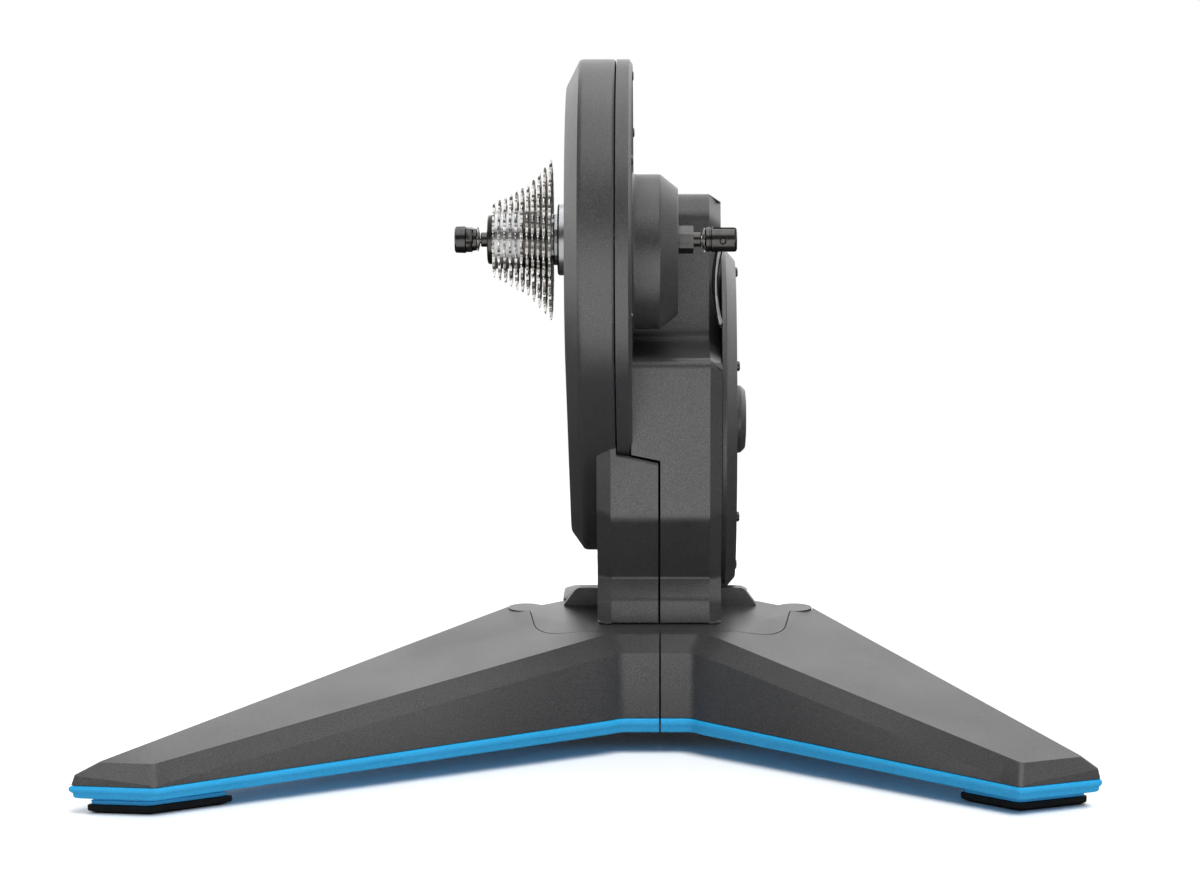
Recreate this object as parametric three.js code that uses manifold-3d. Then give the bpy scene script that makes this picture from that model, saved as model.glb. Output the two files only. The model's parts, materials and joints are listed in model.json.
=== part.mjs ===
// Direct drive bike trainer, seen from the front of the bicycle.
// Millimetres, +Z up, +X towards the quick-release lever, +Y towards the rear of the bicycle.
// Heights are above the floor; other places are measured from the middle of the bicycle and from its axle.
import * as THREE from "three";
import { mergeVertices } from "three/addons/utils/BufferGeometryUtils.js";
import Module from "manifold-3d";

const wasm = await Module();
wasm.setup();

// Overall places: X is across the bicycle, BACK is behind its axle, and heights are above the floor
const GAP = 0.3;
const OVERRUN = 2;
const SEAM_X = 46.2;
const SEAM_GAP = 2.4;
const SADDLE_TOP = 80;
const FLYWHEEL_RADIUS = 82;
const DRUM_CLEARANCE = 3;
const DRUM_RADIUS = FLYWHEEL_RADIUS + DRUM_CLEARANCE;
const HOUSING_WALL = 33;
const HOUSING_RADIUS = DRUM_RADIUS + HOUSING_WALL;
const HOUSING_LIFT = 2;
const FLYWHEEL_BACK = 120;
const FLYWHEEL_HEIGHT = SADDLE_TOP + HOUSING_LIFT + HOUSING_RADIUS;
const AXLE_RISE = 141;
const AXLE_HEIGHT = FLYWHEEL_HEIGHT + AXLE_RISE;

// Clearances between the legs and the saddle
const LEG_CLEARANCE = 0.8;
const LEG_SEAM_GAP = 1.2;

// Counts of steps on round forms, by their radius
const NARROW_RADIUS = 10;
const WIDE_RADIUS = 45;
const NARROW_STEPS = 16;
const MIDDLE_STEPS = 24;
const WIDE_STEPS = 56;
const ARC_STEPS = 32;
const BELT_STEPS = 28;

// Through axle and its end fittings
const DROPOUT_SPACING = 135;
const DROPOUT_MIDDLE = 0.75;
const DRIVE_SHOULDER = DROPOUT_MIDDLE - DROPOUT_SPACING / 2;
const FAR_SHOULDER = DROPOUT_MIDDLE + DROPOUT_SPACING / 2;
const AXLE_RADIUS = 7.5;
const AXLE_BORE = 3.1;
const STUB_RADIUS = 4.8;
const STUB_LENGTH = 5.2;
const DRIVE_END_RADIUS = 9.2;
const DRIVE_END_LENGTH = 6;
const FAR_END_RADIUS = 9.3;
const AXLE_DRIVE_END = DRIVE_SHOULDER + DRIVE_END_LENGTH;

// Skewer, nut, cam housing and lever
const SKEWER_RADIUS = 2.5;
const NUT_LEAD = 2.65;
const NUT_INNER = DRIVE_SHOULDER - STUB_LENGTH - NUT_LEAD;
const NUT_LENGTH = 14.5;
const NUT_OUTER = NUT_INNER - NUT_LENGTH;
const NUT_RADIUS = 9;
const NUT_WAIST_RADIUS = 7.4;
const NUT_WAIST_LENGTH = 2.5;
const NUT_THREAD_DEPTH = 10;
const NUT_FLATS = 12;
const CAM_LEAD = 2.45;
const CAM_INNER = FAR_SHOULDER + STUB_LENGTH + CAM_LEAD;
const CAM_LENGTH = 21.1;
const CAM_OUTER = CAM_INNER + CAM_LENGTH;
const CAM_RADIUS = 8.5;
const CAM_SEAT_DEPTH = 4;
const LEVER_SETBACK = 11.7;
const LEVER_X = CAM_INNER + LEVER_SETBACK;
const LEVER_SLOT = 7.4;
const LEVER_THICKNESS = 6.4;
const LEVER_LENGTH = 59;
const LEVER_HEAD_RADIUS = 6.2;
const LEVER_TIP_WIDTH = 9;
const LEVER_TIP_RADIUS = 2.2;
const LEVER_BOW = 4.5;
const LEVER_PIN_RADIUS = 2;
const LEVER_PIN_LENGTH = 15;
const LEVER_STEPS = 8;

// Skewer springs
const SPRING_WIRE_RADIUS = 0.45;
const SPRING_INNER_RADIUS = 3.4;
const SPRING_CURL_PITCH = 1.5;
const SPRING_CURLS = 3;
const SPRING_RISE = 1.3;
const SPRING_STEPS = 8;
const SPRING_SIDES = 5;

// Pulleys, belt and idler
const PULLEY_RADIUS = 96;
const PULLEY_X = -6;
const PULLEY_WIDTH = 12;
const PULLEY_RIM = 7;
const PULLEY_WEB = 4;
const PULLEY_HUB_RADIUS = 22;
const PULLEY_HUB_REACH = 17.3;
const PULLEY_HUB_OUTER = PULLEY_X - PULLEY_HUB_REACH;
const FREEHUB_INNER = PULLEY_HUB_OUTER - GAP;
const PULLEY_HUB_FLANGE_RADIUS = 34;
const PULLEY_HUB_FLANGE = 4;
const HUB_BEARING_RADIUS = 17;
const SMALL_PULLEY_RADIUS = 15;
const BELT_THICKNESS = 3.2;
const SHAFT_RADIUS = 7.5;
const IDLER_RADIUS = 13;
const IDLER_SHARE = 0.45;
const IDLER_PIVOT_RADIUS = 4;
const IDLER_ARM_THICKNESS = 3;
const IDLER_ARM_LENGTH = 42;
const IDLER_ARM_WIDTH = 14;
const IDLER_BORE = 4;

// Freehub and cassette
const FREEHUB_RADIUS = 16.8;
const SPLINE_DEPTH = 1.2;
const SPLINES = 9;
const SPLINE_POINTS = 4;
const FREEHUB_BORE = 12;
const SPROCKET_TEETH = [11, 12, 13, 14, 15, 16, 17, 19, 21, 23, 25];
const SPROCKET_PITCH = 3.75;
const SPROCKET_THICKNESS = 1.7;
const SPROCKET_SETBACK = 2.75;
const FIRST_SPROCKET_X = DRIVE_SHOULDER + SPROCKET_SETBACK;
const SPACER_RADIUS = 19.2;
const FREEHUB_OVERHANG = 1.2;
const FREEHUB_OUTER = FIRST_SPROCKET_X - FREEHUB_OVERHANG;
const CHAIN_PITCH = 12.7;
const TOOTH_TIP_SHARE = 0.187;
const TOOTH_ROOT_SHARE = 0.3;
const TOOTH_ROOT_WIDTH_SHARE = 0.36;
const TOOTH_TIP_WIDTH_SHARE = 0.1;
const LOCKRING_RADIUS = 16.4;
const LOCKRING_LENGTH = 3.2;

// Bearings on the axle
const BEARING_WIDTH = 8;
const FREEHUB_BEARING_SETBACK = 9.2;
const FREEHUB_BEARING_SPACING = 18;

// Belt case
const COVER_MARGIN = 22.5;
const COVER_TOP_RADIUS = PULLEY_RADIUS + COVER_MARGIN;
const COVER_LOW_RADIUS = 91;
const COVER_FACE_ROOM = 9;
const COVER_FACE_X = PULLEY_X - COVER_FACE_ROOM;
const COVER_CHAMFER_DEPTH = 10.1;
const COVER_RIM_X = COVER_FACE_X + COVER_CHAMFER_DEPTH;
const COVER_SEAM_ROOM = 11.2;
const COVER_SEAM_X = PULLEY_X + PULLEY_WIDTH + COVER_SEAM_ROOM;
const COVER_TOP_CHAMFER = 16.5;
const COVER_LOW_CHAMFER = 12;
const COVER_WALL = 3;
const COVER_HUB_HOLE = 25;
const COVER_SEAM_WIDTH = 1.8;
const BACK_PLATE_FRONT_X = COVER_SEAM_X + COVER_SEAM_WIDTH;
const BACK_PLATE_THICKNESS = 8;
const BACK_PLATE_X = BACK_PLATE_FRONT_X + BACK_PLATE_THICKNESS;
const BACK_PLATE_LIP = 4.2;
const BACK_PLATE_LIP_X = COVER_SEAM_X - BACK_PLATE_LIP;
const BACK_PLATE_LIP_WALL = 3;

// Flywheel, shaft, bearings and brake
const FLYWHEEL_WIDTH = 20;
const FLYWHEEL_BEARING_WIDTH = 8;
const SHAFT_BEARING_RADIUS = 16;
const SHAFT_START = -9;
const INNER_BEARING_DEPTH = 11;
const INNER_BEARING_X = BACK_PLATE_X + INNER_BEARING_DEPTH;
const DRUM_FLOOR = 3;
const DRUM_X = INNER_BEARING_X + FLYWHEEL_BEARING_WIDTH + DRUM_FLOOR;
const STATOR_WIDTH = 12;
const STATOR_INSET = 17;
const STATOR_RADIUS = FLYWHEEL_RADIUS - STATOR_INSET;
const STATOR_HUB_RADIUS = 30;
const STATOR_POLES = 6;
const STATOR_CLEARANCE = 2;
const POLE_WIDTH = 26;
const FLYWHEEL_X = DRUM_X + STATOR_WIDTH + DRUM_CLEARANCE;
const OUTER_BEARING_ROOM = 1;
const OUTER_BEARING_X = FLYWHEEL_X + FLYWHEEL_WIDTH + OUTER_BEARING_ROOM;
const SHAFT_END = OUTER_BEARING_X + FLYWHEEL_BEARING_WIDTH;

// Body outline
const TOWER_FACE = -24;
const LEDGE_DROP = 76;
const LEDGE_HEIGHT = AXLE_HEIGHT - LEDGE_DROP;
const LEDGE_BEVEL = 4;
const TOWER_KNEE_RISE = 77;
const TOWER_KNEE_HEIGHT = SADDLE_TOP + TOWER_KNEE_RISE;
const TOWER_ANKLE_BACK = 12;
const TOWER_ANKLE_RISE = 30.3;
const TOWER_ANKLE_HEIGHT = SADDLE_TOP + TOWER_ANKLE_RISE;
const FOOT_FACE = 2;
const FOOT_RISE = 17.6;
const FOOT_HEIGHT = SADDLE_TOP + FOOT_RISE;
const BODY_BOTTOM = SADDLE_TOP + GAP;
const BODY_FOOT_REACH = 70;
const BODY_FOOT_BACK = FLYWHEEL_BACK + BODY_FOOT_REACH;
const UPPER_FRONT = 60;
const UPPER_RISE = 21;
const UPPER_TOP = AXLE_HEIGHT + UPPER_RISE;
const UPPER_BEVEL = 12;
const UPPER_CREST = 24;
const HOUSING_ARC_STEPS = 20;
const BODY_RIM = 3.4;
const BODY_RIGHT_X = FLYWHEEL_X + FLYWHEEL_WIDTH + BODY_RIM;
const BODY_BEVEL_DEPTH = 8;
const BODY_BEVEL_X = BODY_RIGHT_X - BODY_BEVEL_DEPTH;
const BODY_BEVEL = 6;
const BODY_LEFT_X = BACK_PLATE_X + GAP;

// Board room and circuit board
const BOARD_ROOM_SETBACK = 10;
const BOARD_ROOM_LENGTH = 52;
const BOARD_ROOM_DROP = 28;
const BOARD_ROOM_RISE = 25;
const BOARD_ROOM_FRONT = UPPER_FRONT + BOARD_ROOM_SETBACK;
const BOARD_ROOM_BACK = BOARD_ROOM_FRONT + BOARD_ROOM_LENGTH;
const BOARD_ROOM_TOP = UPPER_TOP - BOARD_ROOM_DROP;
const BOARD_ROOM_BOTTOM = BOARD_ROOM_TOP - BOARD_ROOM_RISE;
const BOARD_DEPTH = 12.7;
const BOARD_X = BODY_LEFT_X + BOARD_DEPTH;
const BOARD_SHELF = 3;
const BOARD_THICKNESS = 1.6;
const BOARD_ROOM_DEPTH = 36;
const BOARD_ROOM_END = BOARD_X + BOARD_ROOM_DEPTH;
const CHIP_SIZE = 14;
const CHIP_HEIGHT = 4;

// Left half of the tower
const LEFT_REACH = 13.1;
const LEFT_X = COVER_SEAM_X - LEFT_REACH;
const LEFT_BEVEL_DEPTH = 9.4;
const LEFT_BEVEL_X = LEFT_X + LEFT_BEVEL_DEPTH;
const LEFT_BEVEL = 7;
const LEFT_UPPER_DROP = 20;
const LEFT_UPPER_TOP = LEDGE_HEIGHT - LEFT_UPPER_DROP;
const LEFT_RISE = 122.4;
const LEFT_TOP = SADDLE_TOP + LEFT_RISE;
const LEFT_TOP_FALL = 7;
const LEFT_BACK = 10;
const LEFT_KNEE_DROP = 10;
const LEFT_KNEE_HEIGHT = LEFT_TOP - LEFT_KNEE_DROP;
const LEFT_FOOT_BACK = 60;
const LEFT_HEEL_RISE = 62;
const LEFT_HEEL_HEIGHT = SADDLE_TOP + LEFT_HEEL_RISE;

// Boss over the far end of the axle
const BOSS_RADIUS = 51;
const BOSS_FACE_RADIUS = 41.5;
const BOSS_DROP = 8;
const BOSS_HEIGHT = AXLE_HEIGHT - BOSS_DROP;
const BOSS_DEPTH = 31.1;
const BOSS_BEVEL_DEPTH = 11.9;
const BOSS_FACE_X = BACK_PLATE_X + BOSS_DEPTH;
const BOSS_BEVEL_X = BOSS_FACE_X - BOSS_BEVEL_DEPTH;
const AXLE_FAR_END = BOSS_FACE_X + GAP;

// Flywheel cover and cap
const COVER_DISC_X = BODY_RIGHT_X + GAP;
const COVER_DISC_RIM = 3.3;
const COVER_DISC_BEVEL_X = COVER_DISC_X + COVER_DISC_RIM;
const COVER_DISC_FLOOR = 5;
const COVER_DISC_FACE_X = SHAFT_END + COVER_DISC_FLOOR;
const COVER_DISC_BEVEL = 8;
const COVER_DISC_FACE_RADIUS = HOUSING_RADIUS - COVER_DISC_BEVEL;
const CAP_RADIUS = 23.5;
const CAP_BEVEL = 3.5;
const CAP_FACE_RADIUS = CAP_RADIUS - CAP_BEVEL;
const CAP_HEIGHT = 7.4;
const CAP_FACE_X = COVER_DISC_FACE_X + CAP_HEIGHT;
const CAP_DOME = 0.8;
const CAP_DOME_X = CAP_FACE_X + CAP_DOME;
const CAP_SPIGOT_RADIUS = 12;
const CAP_SPIGOT = 3;

// Feet and blue trim
const FOOT_PAD = 5.5;
const TRIM_OUT = 0.8;
const TRIM_UNDERCUT = 1.5;
const TRIM_LIFT = 5.9;
const RISER_INSET = 1.2;

// Pivots of the legs
const PIVOT_HALF = 92;
const PIVOT_BACK = 57;
const PIN_RADIUS = 5;
const PIN_HEAD_RADIUS = 8;
const PIN_HEAD = 2;
const KNUCKLE_RADIUS = 12;
const KNUCKLE_ROOM = 1.2;
const EAR_RADIUS = 12;
const EAR_THICKNESS = 14;
const EAR_TOP = SADDLE_TOP - EAR_THICKNESS;

// Saddle
const SADDLE_BASE = 16;
const SADDLE_FRONT = -16.4;
const SADDLE_WIDE_FRONT = -4.4;
const SADDLE_WIDE_INSET = 9.4;
const SADDLE_FRONT_INSET = 12.5;
const SADDLE_SIDE_INSET = 2;
const SADDLE_REAR_INSET = 14;
const SADDLE_REAR_REACH = 9;
const SADDLE_BULGE_INSET = 26;
const SADDLE_BULGE_REACH = 21;
const SADDLE_WIDE_HALF = PIVOT_HALF - SADDLE_WIDE_INSET;
const SADDLE_BULGE = PIVOT_BACK + SADDLE_BULGE_REACH;
const RIDGE_HALF = PIVOT_HALF - SADDLE_BULGE_INSET;
const RIDGE_SETBACK = 7.8;
const RIDGE_BACK = SADDLE_BULGE - RIDGE_SETBACK;
const RIDGE_DEPTH = 9;
const RIDGE_FRONT = RIDGE_BACK - RIDGE_DEPTH;
const RIDGE_RISE = 12.5;
const RIDGE_TOP = SADDLE_TOP + RIDGE_RISE;
const RIDGE_LEAN = 9;
const RIDGE_CLEARANCE = 0.6;
const SLOPE_REACH = 60;
const SLOPE_OVERRUN = 30;
const PAN_HEIGHT = 10;
const PAN_APEX_BOTTOM = SADDLE_BASE;
const PAN_APEX_TOP = PAN_APEX_BOTTOM + PAN_HEIGHT;
const EAR_BOTTOM = PAN_APEX_TOP + 2 * GAP;

// Rear beam
const BEAM_START = SADDLE_BULGE + GAP;
const BEAM_SIDE = 40.2;
const BEAM_LEFT = SEAM_X - BEAM_SIDE;
const BEAM_WIDTH = 84;
const BEAM_RIGHT = BEAM_LEFT + BEAM_WIDTH;
const BEAM_BEVEL = 8;
const BEAM_DROP = 14;
const BEAM_TOP = SADDLE_TOP - BEAM_DROP;
const REAR_BAR_FRONT = 378;
const REAR_BAR_DEPTH = 46;
const REAR_BAR_BACK = REAR_BAR_FRONT + REAR_BAR_DEPTH;
const REAR_BAR_OUT_LEFT = 34;
const REAR_BAR_OUT_RIGHT = 24;
const REAR_BAR_LEFT = BEAM_LEFT - REAR_BAR_OUT_LEFT;
const REAR_BAR_RIGHT = BEAM_RIGHT + REAR_BAR_OUT_RIGHT;
const REAR_TRIM_TOP = FOOT_PAD + TRIM_LIFT;
const REAR_BAR_HEIGHT = 5.6;
const REAR_BAR_TOP = REAR_TRIM_TOP + REAR_BAR_HEIGHT;
const REAR_BAR_BEVEL = 5;
const REAR_PAD_LENGTH = 44;
const BEAM_LIFT = 1.6;
const BEAM_BOTTOM = REAR_TRIM_TOP + BEAM_LIFT;
const BEAM_OVERLAP = 14;
const BEAM_END = REAR_BAR_FRONT + BEAM_OVERLAP;
const BEAM_END_HEIGHT = 11;
const BEAM_END_TOP = BEAM_BOTTOM + BEAM_END_HEIGHT;
const BEAM_END_BEVEL = 4;

// Legs
const NOSE_TOP_FRONT = -25;
const LEG_CHAMFER = 14;
const LEG_REAR_CHAMFER = 5;
const LEG_TIP_CHAMFER = 9;
const LEG_CHAMFER_DROP = 10;
const LEG_FACE_LEAN = 1;
const LEG_WALL = 3.5;
const LEG_REAR_REACH = 15;
const LEG_BACK = PIVOT_BACK + LEG_REAR_REACH;
const PAN_TIP_HEIGHT = 8.6;
const PAN_TIP_BOTTOM = FOOT_PAD + TRIM_LIFT;
const PAN_TIP_TOP = PAN_TIP_BOTTOM + PAN_TIP_HEIGHT;
const LEG_TIP_EDGE = 1.3;
const LEG_CHAMFER_TIP = PAN_TIP_TOP + LEG_TIP_EDGE;
const LEG_TIP_RISE = 11.7;
const LEG_OUTER_RISE = 5.2;
const LEG_TOP_TIP = LEG_CHAMFER_TIP + LEG_TIP_RISE;
const LEG_CHAMFER_OUTER = LEG_CHAMFER_TIP + LEG_OUTER_RISE;
const LEG_BEAM_HALF = 10;
const LEG_BEAM_TIP_HALF = 9;
const LEG_BEAM_DROP = 20;
const LEG_BEAM_TOP = SADDLE_TOP - LEG_BEAM_DROP;
const LEG_BEAM_TIP_HEIGHT = 9.8;
const LEG_BEAM_TIP_TOP = PAN_TIP_TOP + LEG_BEAM_TIP_HEIGHT;
const LEG_BEAM_TIP_SHARE = 0.88;
const LEG_FRONT_POINTS = 5;
const LEG_CORNER_PLACE = 3;
const LEG_TIP_PLACES = [4, 5];
const LEG_BEAM_TIP_PLACES = [1, 2];

// Left leg: its corners outwards from the seam and back from the axle, and its foot
const LEFT_NOSE_HALF = 29.8;
const LEFT_CORNER_OUT = 39.8;
const LEFT_CORNER_BACK = -32.7;
const LEFT_TIP_FRONT_OUT = 317.5;
const LEFT_TIP_FRONT_BACK = -185;
const LEFT_TIP_OUTER_OUT = 353.3;
const LEFT_TIP_OUTER_BACK = -180.6;
const LEFT_HEEL_OUT = 10.4;
const LEFT_HEEL_BACK = 3.6;
const LEFT_FOOT_FRONT = 58;
const LEFT_FOOT_REAR = 40;
const LEFT_FOOT_FRONT_GROWTH = -1;
const LEFT_FOOT_TIP_GROWTH = 1.2;
const LEFT_FOOT_REAR_GROWTH = 6.4;

// Right leg, in the same way
const RIGHT_NOSE_HALF = 26.5;
const RIGHT_CORNER_OUT = 37.1;
const RIGHT_CORNER_BACK = -36.2;
const RIGHT_TIP_FRONT_OUT = 226.9;
const RIGHT_TIP_FRONT_BACK = -182.1;
const RIGHT_TIP_OUTER_OUT = 266.9;
const RIGHT_TIP_OUTER_BACK = -166.3;
const RIGHT_HEEL_OUT = 10;
const RIGHT_HEEL_BACK = 3.4;
const RIGHT_FOOT_FRONT = 46;
const RIGHT_FOOT_REAR = 40;
const RIGHT_FOOT_FRONT_GROWTH = -3;
const RIGHT_FOOT_TIP_GROWTH = -3.8;
const RIGHT_FOOT_REAR_GROWTH = 8.5;

const LEFT_LEG = {
  name: "left",
  sign: -1,
  noseHalf: LEFT_NOSE_HALF,
  frontCorner: [LEFT_CORNER_OUT, LEFT_CORNER_BACK],
  tipFront: [LEFT_TIP_FRONT_OUT, LEFT_TIP_FRONT_BACK],
  tipOuter: [LEFT_TIP_OUTER_OUT, LEFT_TIP_OUTER_BACK],
  rearCorner: [PIVOT_HALF + LEFT_HEEL_OUT, PIVOT_BACK + LEFT_HEEL_BACK],
  footLengths: [LEFT_FOOT_FRONT, LEFT_FOOT_REAR],
  footGrowths: [LEFT_FOOT_FRONT_GROWTH, LEFT_FOOT_TIP_GROWTH, LEFT_FOOT_REAR_GROWTH],
};
const RIGHT_LEG = {
  name: "right",
  sign: 1,
  noseHalf: RIGHT_NOSE_HALF,
  frontCorner: [RIGHT_CORNER_OUT, RIGHT_CORNER_BACK],
  tipFront: [RIGHT_TIP_FRONT_OUT, RIGHT_TIP_FRONT_BACK],
  tipOuter: [RIGHT_TIP_OUTER_OUT, RIGHT_TIP_OUTER_BACK],
  rearCorner: [PIVOT_HALF + RIGHT_HEEL_OUT, PIVOT_BACK + RIGHT_HEEL_BACK],
  footLengths: [RIGHT_FOOT_FRONT, RIGHT_FOOT_REAR],
  footGrowths: [RIGHT_FOOT_FRONT_GROWTH, RIGHT_FOOT_TIP_GROWTH, RIGHT_FOOT_REAR_GROWTH],
};

// Power inlet
const INLET_X = 62;
const INLET_WIDTH = 16;
const INLET_HEIGHT = 14;
const INLET_DEPTH = 13;
const INLET_MIDDLE = 92;
const INLET_BORE_RADIUS = 3.4;
const INLET_BORE_DEPTH = 10;

// Finishes: colour, roughness, metalness
const finish = (color, roughness, metalness) =>
  new THREE.MeshStandardMaterial({ color, roughness, metalness });
const CHARCOAL = finish(0x3a3b3d, 0.55, 0);
const BLUE = finish(0x28a6e2, 0.45, 0);
const RUBBER = finish(0x161617, 0.85, 0);
const BLACK_STEEL = finish(0x1b1b1d, 0.35, 1);
const STEEL = finish(0xa9abad, 0.3, 1);
const ALUMINIUM = finish(0xb9bbbe, 0.35, 1);
const DARK_CHROME = finish(0x4a4a4d, 0.18, 1);
const IRON = finish(0x55575a, 0.6, 1);
const BOARD_GREEN = finish(0x1f5a35, 0.5, 0);
const COPPER = finish(0xb06a3a, 0.4, 1);

// Solids from closed geometries
function solid(geometry) {
  const bare = geometry.clone();
  bare.deleteAttribute("normal");
  bare.deleteAttribute("uv");
  const merged = mergeVertices(bare);
  return new wasm.Manifold(
    new wasm.Mesh({
      numProp: 3,
      vertProperties: new Float32Array(merged.attributes.position.array),
      triVerts: new Uint32Array(merged.index.array),
    }),
  );
}

function geometryOf(made) {
  const mesh = made.getMesh();
  const geometry = new THREE.BufferGeometry();
  geometry.setAttribute("position", new THREE.BufferAttribute(mesh.vertProperties, mesh.numProp));
  geometry.setIndex(new THREE.BufferAttribute(mesh.triVerts, 1));
  geometry.computeVertexNormals();
  return geometry;
}

// A closed skin through rings of points; each end is a list of triangles of places in its ring.
function skin(rings, ends) {
  const count = rings[0].length;
  const positions = rings.flat().flatMap((p) => [p.x, p.y, p.z]);
  const index = [];
  for (let ring = 0; ring < rings.length - 1; ring++) {
    for (let i = 0; i < count; i++) {
      const a = ring * count + i;
      const b = ring * count + ((i + 1) % count);
      index.push(a, b, b + count, a, b + count, a + count);
    }
  }
  const last = (rings.length - 1) * count;
  for (const [a, b, c] of ends[0]) index.push(a, c, b);
  for (const [a, b, c] of ends[1]) index.push(last + a, last + b, last + c);
  const geometry = new THREE.BufferGeometry();
  geometry.setAttribute("position", new THREE.Float32BufferAttribute(positions, 3));
  geometry.setIndex(index);
  return solid(geometry);
}

// A skin whose rings are seen along Z and drawn anticlockwise.
function loft(rings) {
  const capOf = (ring) => THREE.ShapeUtils.triangulateShape(ring.map((p) => new THREE.Vector2(p.x, p.y)), []);
  return skin(rings, [capOf(rings[0]), capOf(rings.at(-1))]);
}

const rectangle = (left, front, right, back) => [[left, front], [right, front], [right, back], [left, back]];
const level = (outline, z) => outline.map(([x, y]) => new THREE.Vector3(x, y, z));
const prism = (outline, from, to) => loft([level(outline, from), level(outline, to)]);

// Moves each side of an anticlockwise outline inwards by its distance, or outwards where that is negative.
function insetSides(outline, distances) {
  const count = outline.length;
  const line = (i) => {
    const [x0, y0] = outline[i % count];
    const [x1, y1] = outline[(i + 1) % count];
    const length = Math.hypot(x1 - x0, y1 - y0);
    const [nx, ny] = [-(y1 - y0) / length, (x1 - x0) / length];
    return [nx, ny, nx * x0 + ny * y0 + distances[i % count]];
  };
  return outline.map((point, i) => {
    const [ax, ay, a] = line(i + count - 1);
    const [bx, by, b] = line(i);
    const cross = ax * by - ay * bx;
    return [(a * by - b * ay) / cross, (ax * b - bx * a) / cross];
  });
}

const inset = (outline, distance) => insetSides(outline, outline.map(() => distance));

function stepsFor(radius) {
  if (radius > WIDE_RADIUS) return WIDE_STEPS;
  return radius > NARROW_RADIUS ? MIDDLE_STEPS : NARROW_STEPS;
}

// A round solid about Z from pairs of height and radius; a ring where the pairs close on themselves.
function turned(pairs, steps = stepsFor(Math.max(...pairs.map(([, radius]) => radius)))) {
  const profile = pairs.map(([height, radius]) => new THREE.Vector2(radius, height));
  return solid(new THREE.LatheGeometry(profile, steps).rotateX(Math.PI / 2));
}

const rod = (from, to, radius) => turned([[from, 0], [from, radius], [to, radius], [to, 0]]);

const tube = (from, to, inner, outer) =>
  turned([[from, inner], [from, outer], [to, outer], [to, inner], [from, inner]]);

const at = (x, y, z = 0) => new THREE.Vector3(x, y, z);
const moved = (made, x, y, z = 0) => made.translate([x, y, z]);

// Scene graph: the side frame has its X along the bicycle, its Y up and its Z across.
const trainer = new THREE.Group();
trainer.name = "direct_drive_bike_trainer";
const side = new THREE.Group();
side.setRotationFromMatrix(new THREE.Matrix4().makeBasis(at(0, 1, 0), at(0, 0, 1), at(1, 0, 0)));
const axleLine = new THREE.Group();
axleLine.position.set(0, AXLE_HEIGHT, 0);
const flywheelLine = new THREE.Group();
flywheelLine.position.set(FLYWHEEL_BACK, FLYWHEEL_HEIGHT, 0);
trainer.add(side);
side.add(axleLine, flywheelLine);

function add(group, name, made, material) {
  const mesh = new THREE.Mesh(geometryOf(made), material);
  mesh.name = name;
  group.add(mesh);
  return mesh;
}

// Through axle, its two end fittings and the skewer inside it

function axle() {
  const body = tube(AXLE_DRIVE_END + GAP, AXLE_FAR_END - GAP, AXLE_BORE, AXLE_RADIUS);
  add(axleLine, "through_axle", body, STEEL);
}

// An end fitting: a shoulder that the bicycle's dropout bears on and a stub that carries it.
function axleEnd(name, inner, shoulder, radius) {
  const outward = Math.sign(shoulder - inner);
  const stub = shoulder + outward * STUB_LENGTH;
  const places = [[inner, radius], [shoulder, radius], [shoulder, STUB_RADIUS], [stub, STUB_RADIUS]];
  const ring = [...places, [stub, AXLE_BORE], [inner, AXLE_BORE], places[0]];
  add(axleLine, name, turned(outward > 0 ? ring : ring.reverse()), BLACK_STEEL);
}

function skewer() {
  const rodEnd = NUT_INNER - NUT_THREAD_DEPTH + GAP;
  add(axleLine, "skewer_rod", rod(rodEnd, CAM_INNER + CAM_SEAT_DEPTH - GAP, SKEWER_RADIUS), STEEL);
  const nut = turned(
    [[NUT_OUTER, 0], [NUT_OUTER, NUT_RADIUS], [NUT_INNER - NUT_WAIST_LENGTH, NUT_RADIUS],
      [NUT_INNER - NUT_WAIST_LENGTH, NUT_WAIST_RADIUS], [NUT_INNER, NUT_WAIST_RADIUS], [NUT_INNER, 0]],
    NUT_FLATS,
  ).subtract(rod(NUT_INNER - NUT_THREAD_DEPTH, NUT_INNER + OVERRUN, SKEWER_RADIUS + GAP));
  add(axleLine, "skewer_nut", nut, BLACK_STEEL);
}

// The lever hangs on a cross pin in a slot of the cam housing.
function quickRelease() {
  const slot = new THREE.BoxGeometry(LEVER_SLOT, CAM_RADIUS * 2 + OVERRUN, CAM_OUTER - CAM_INNER)
    .translate(0, 0, LEVER_X - LEVER_HEAD_RADIUS - GAP + (CAM_OUTER - CAM_INNER) / 2);
  const pinHole = new THREE.CylinderGeometry(
    LEVER_PIN_RADIUS + GAP, LEVER_PIN_RADIUS + GAP, LEVER_PIN_LENGTH, NARROW_STEPS)
    .rotateZ(Math.PI / 2).translate(0, 0, LEVER_X);
  const housing = rod(CAM_INNER, CAM_OUTER, CAM_RADIUS)
    .subtract(solid(slot))
    .subtract(solid(pinHole))
    .subtract(rod(CAM_INNER - OVERRUN, CAM_INNER + CAM_SEAT_DEPTH, SKEWER_RADIUS + GAP));
  add(axleLine, "lever_cam_housing", housing, BLACK_STEEL);
  const pin = new THREE.CylinderGeometry(
    LEVER_PIN_RADIUS, LEVER_PIN_RADIUS, LEVER_PIN_LENGTH - GAP, NARROW_STEPS)
    .rotateZ(Math.PI / 2).translate(0, 0, LEVER_X);
  add(axleLine, "lever_pin", solid(pin), STEEL);
  add(axleLine, "quick_release_lever", lever(), DARK_CHROME);
}

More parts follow.
